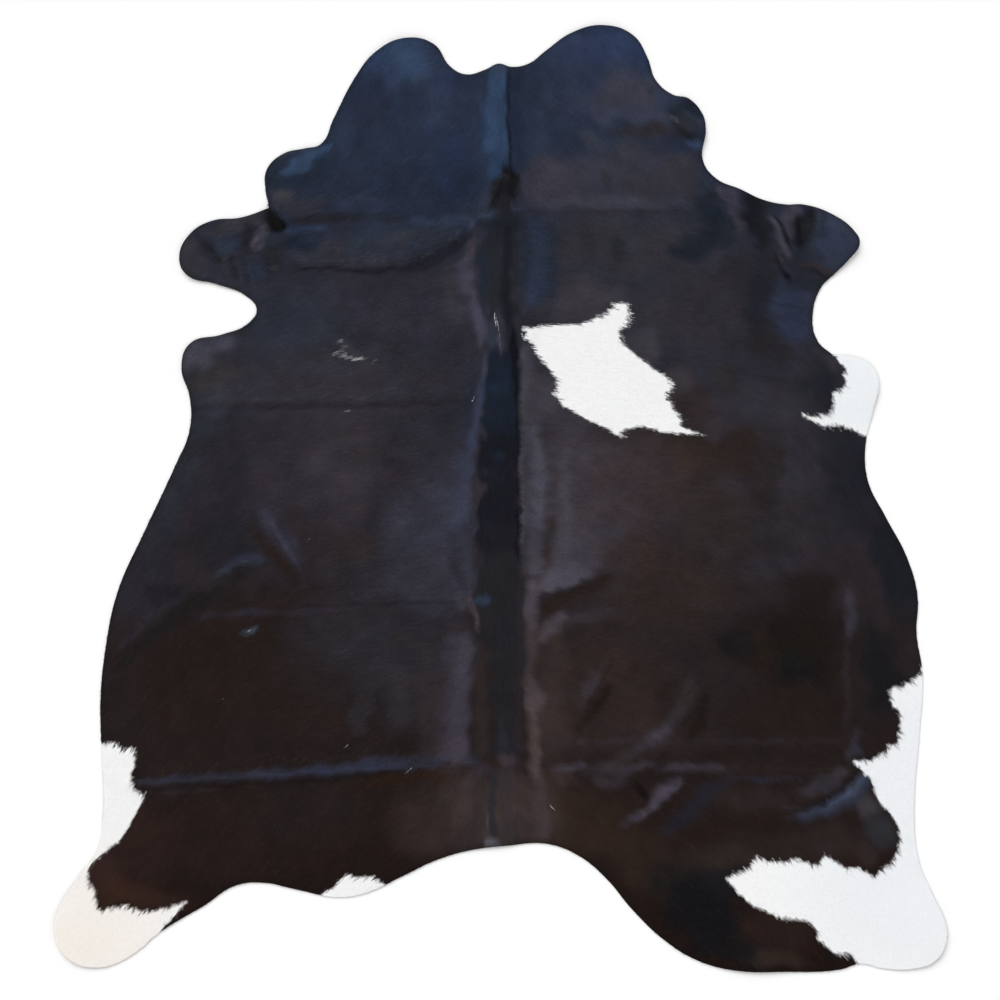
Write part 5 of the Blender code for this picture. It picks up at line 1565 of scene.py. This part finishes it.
class Value:
    """A shader socket that is used in plain sums: each operator adds its Math node."""

    def __init__(self, finish, socket):
        self.finish = finish
        self.socket = socket

    def join(self, operation, first, second):
        return self.finish.node("ShaderNodeMath", {"operation": operation}, {0: first, 1: second})

    def __add__(self, other):
        return self.join("ADD", self, other)

    def __radd__(self, other):
        return self.join("ADD", other, self)

    def __sub__(self, other):
        return self.join("SUBTRACT", self, other)

    def __rsub__(self, other):
        return self.join("SUBTRACT", other, self)

    def __mul__(self, other):
        return self.join("MULTIPLY", self, other)

    def __rmul__(self, other):
        return self.join("MULTIPLY", other, self)


class Finish:
    """A material, and the nodes in front of its one surface shader."""

    def __init__(self, name):
        self.material = bpy.data.materials.new(name)
        self.material.use_nodes = True
        self.tree = self.material.node_tree
        self.surface = self.tree.nodes["Principled BSDF"]

    def put(self, socket, value):
        """Links a value into a socket, or sets the socket to a plain number or colour."""
        if isinstance(value, Value):
            self.tree.links.new(value.socket, socket)
        else:
            socket.default_value = value

    def node(self, kind, settings, inputs, output=0):
        """A node with its settings and inputs, as the value of one of its outputs."""
        node = self.tree.nodes.new(kind)
        for name, setting in settings.items():
            setattr(node, name, setting)
        for key, value in inputs.items():
            self.put(node.inputs[key], value)
        return Value(self, node.outputs[output])

    def place(self):
        """Where on the object a point lies."""
        return self.node("ShaderNodeTexCoord", {}, {}, "Object")

    def noise(self, scale, detail=2.0, roughness=0.5):
        """Soft noise between 0 and 1, with this many spots a metre."""
        inputs = {"Vector": self.place(), "Scale": scale, "Detail": detail, "Roughness": roughness}
        return self.node("ShaderNodeTexNoise", {}, inputs, "Fac")

    def painted(self):
        """The piece's own painted colour."""
        return self.node("ShaderNodeAttribute", {"attribute_name": "coat_colour"}, {}, "Color")

    def scaled(self, colour, share):
        """A colour times a number."""
        return self.node("ShaderNodeVectorMath", {"operation": "SCALE"}, {0: colour, "Scale": share})

    def mixed(self, share, first, second):
        """Two colours, mixed by a share."""
        inputs = {0: share, 6: first, 7: second}
        return self.node("ShaderNodeMix", {"data_type": "RGBA"}, inputs, 2)

    def bump(self, height, distance, strength):
        """Low relief from a height."""
        inputs = {"Height": height, "Distance": distance, "Strength": strength}
        return self.node("ShaderNodeBump", {}, inputs)

    def finish(self, **inputs):
        """Sets the surface shader's sockets, each named with _ for a space."""
        for name, value in inputs.items():
            self.put(self.surface.inputs[name.replace("_", " ")], value)
        return self.material


def hair_finish(name, blotch, roughness, specular):
    """Hair: its painted colour with soft blotches, and a satin gloss that varies from place to place."""
    finish = Finish(name)
    wide = finish.noise(HAIR_BLOTCHES, 3.0)
    fine = finish.noise(HAIR_SPECKLES)
    tone = (1.0 - blotch) + blotch * (1.3 * wide + 0.7 * fine)
    return finish.finish(
        Base_Color=finish.scaled(finish.painted(), tone),
        Roughness=roughness + 0.14 * (finish.noise(HAIR_GLOSS_SPOTS) - 0.5),
        Specular_IOR_Level=specular,
    )


def bed_finish():
    """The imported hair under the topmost: the painted colour with a fine grain."""
    finish = Finish("hair_bed")
    grain = finish.noise(BED_GRAIN, 3.0, 0.6)
    return finish.finish(
        Base_Color=finish.scaled(finish.painted(), 0.7 + 0.6 * grain),
        Roughness=0.44 + 0.2 * (grain - 0.5),
        Specular_IOR_Level=0.09,
        Normal=finish.bump(grain, 0.0004, 0.5),
    )


def suede_finish():
    """The flesh side: pale napped suede with clouds, a fine nap and faint veins."""
    finish = Finish("suede")
    clouds = finish.noise(SUEDE_CLOUDS, 4.0, 0.6)
    nap = finish.noise(SUEDE_NAP, 2.0, 0.6)
    cells = {"Vector": finish.place(), "Scale": SUEDE_VEINS}
    veins = finish.node("ShaderNodeTexVoronoi", {"feature": "DISTANCE_TO_EDGE"}, cells, "Distance")
    from_vein = {"Value": veins, "From Min": 0.0, "From Max": VEIN_WIDTH, "To Min": 1.0, "To Max": 0.0}
    vein = finish.node("ShaderNodeMapRange", {}, from_vein)
    colour = finish.mixed(clouds * 0.7 + nap * 0.3 + vein * 0.12, SUEDE_PALE, SUEDE_DEEP)
    return finish.finish(
        Base_Color=colour,
        Roughness=0.88 + 0.1 * (nap - 0.5),
        Specular_IOR_Level=0.15,
        Normal=finish.bump(nap + 0.4 * clouds, 0.0005, 0.7),
    )


def cut_finish():
    """The cut through the leather: pale and darker fibres."""
    finish = Finish("cut_leather")
    fibres = finish.noise(CUT_FIBRES, 2.0, 0.7)
    return finish.finish(
        Base_Color=finish.mixed(fibres, CUT_PALE, CUT_DEEP),
        Roughness=0.85,
        Specular_IOR_Level=0.2,
        Normal=finish.bump(fibres, 0.0003, 0.6),
    )


# Floor, light and camera.


def add_floor():
    """A wide plain floor a hair's breadth under the hide."""
    mesh = bpy.data.meshes.new("floor")
    sides = ((-1, -1), (1, -1), (1, 1), (-1, 1))
    corners = [(FLOOR_REACH * x, FLOOR_REACH * y, FLOOR_LEVEL) for x, y in sides]
    mesh.from_pydata(corners, [], [(0, 1, 2, 3)])
    finish = Finish("floor_white")
    mesh.materials.append(finish.finish(Base_Color=FLOOR_COLOUR, Roughness=0.9, Specular_IOR_Level=0.1))
    floor = add_object("floor", mesh)


def add_lamps():
    """Wide, far lamps, which light all of the floor alike."""
    for lamp in LAMPS:
        data = bpy.data.lights.new(lamp.name, "SUN")
        data.energy = lamp.strength
        data.angle = math.radians(lamp.spread)
        data.color = lamp.colour
        light = add_object(lamp.name, data)
        light.rotation_euler = (math.radians(90.0 - lamp.height), 0.0, math.radians(lamp.heading + 90.0))


def add_sky():
    """Even studio light from all round."""
    world = bpy.data.worlds.new("studio")
    world.use_nodes = True
    background = world.node_tree.nodes["Background"]
    background.inputs["Color"].default_value = SKY_COLOUR
    background.inputs["Strength"].default_value = SKY_STRENGTH
    bpy.context.scene.world = world


def add_camera():
    """A camera that looks straight down, with a lens that takes in the view's width on the floor."""
    data = bpy.data.cameras.new("camera")
    data.sensor_width = SENSOR
    data.lens = SENSOR * CAMERA_HEIGHT / VIEW_WIDTH
    data.clip_end = FAR_CLIP
    camera = add_object("camera", data)
    camera.location = (*CAMERA_PLACE, CAMERA_HEIGHT)
    bpy.context.scene.camera = camera
    bpy.context.scene.view_settings.view_transform = "Standard"


def make_charts(ring):
    """All that is read again and again: edge distance, coat bed, the lie of the hair and both coats."""
    x, y = chart_places(EDGE_CHART_STEP)
    edge = edge_distance(ring, x.ravel(), y.ravel()).reshape(x.shape)
    x, y = chart_places(CHART_STEP)
    near_edge = read(edge, x.ravel(), y.ravel()).reshape(x.shape)
    course = flow(x, y)
    return {
        "edge": edge,
        "bed": coat_bed(x, y),
        "flow": course,
        "dark": dark_chart(x, y, near_edge, course),
        "white": white_chart(x, y),
    }


def main():
    """Makes the hide and its hair, says what they ride on, hides the imported hide, and sets them in the
    studio.
    """
    ring = hide_outline()
    charts = make_charts(ring)
    hide = make_hide(ring, charts, [bed_finish(), cut_finish(), suede_finish()])
    hair = grow_coat(charts, {
        "dark": hair_finish("dark_hair", blotch=0.10, roughness=0.42, specular=0.06),
        "white": hair_finish("white_hair_finish", blotch=0.02, roughness=0.55, specular=0.20),
    })
    for piece in (hide, *hair):
        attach(piece, "root")
    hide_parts("hide")
    add_floor()
    add_lamps()
    add_sky()
    add_camera()


main()
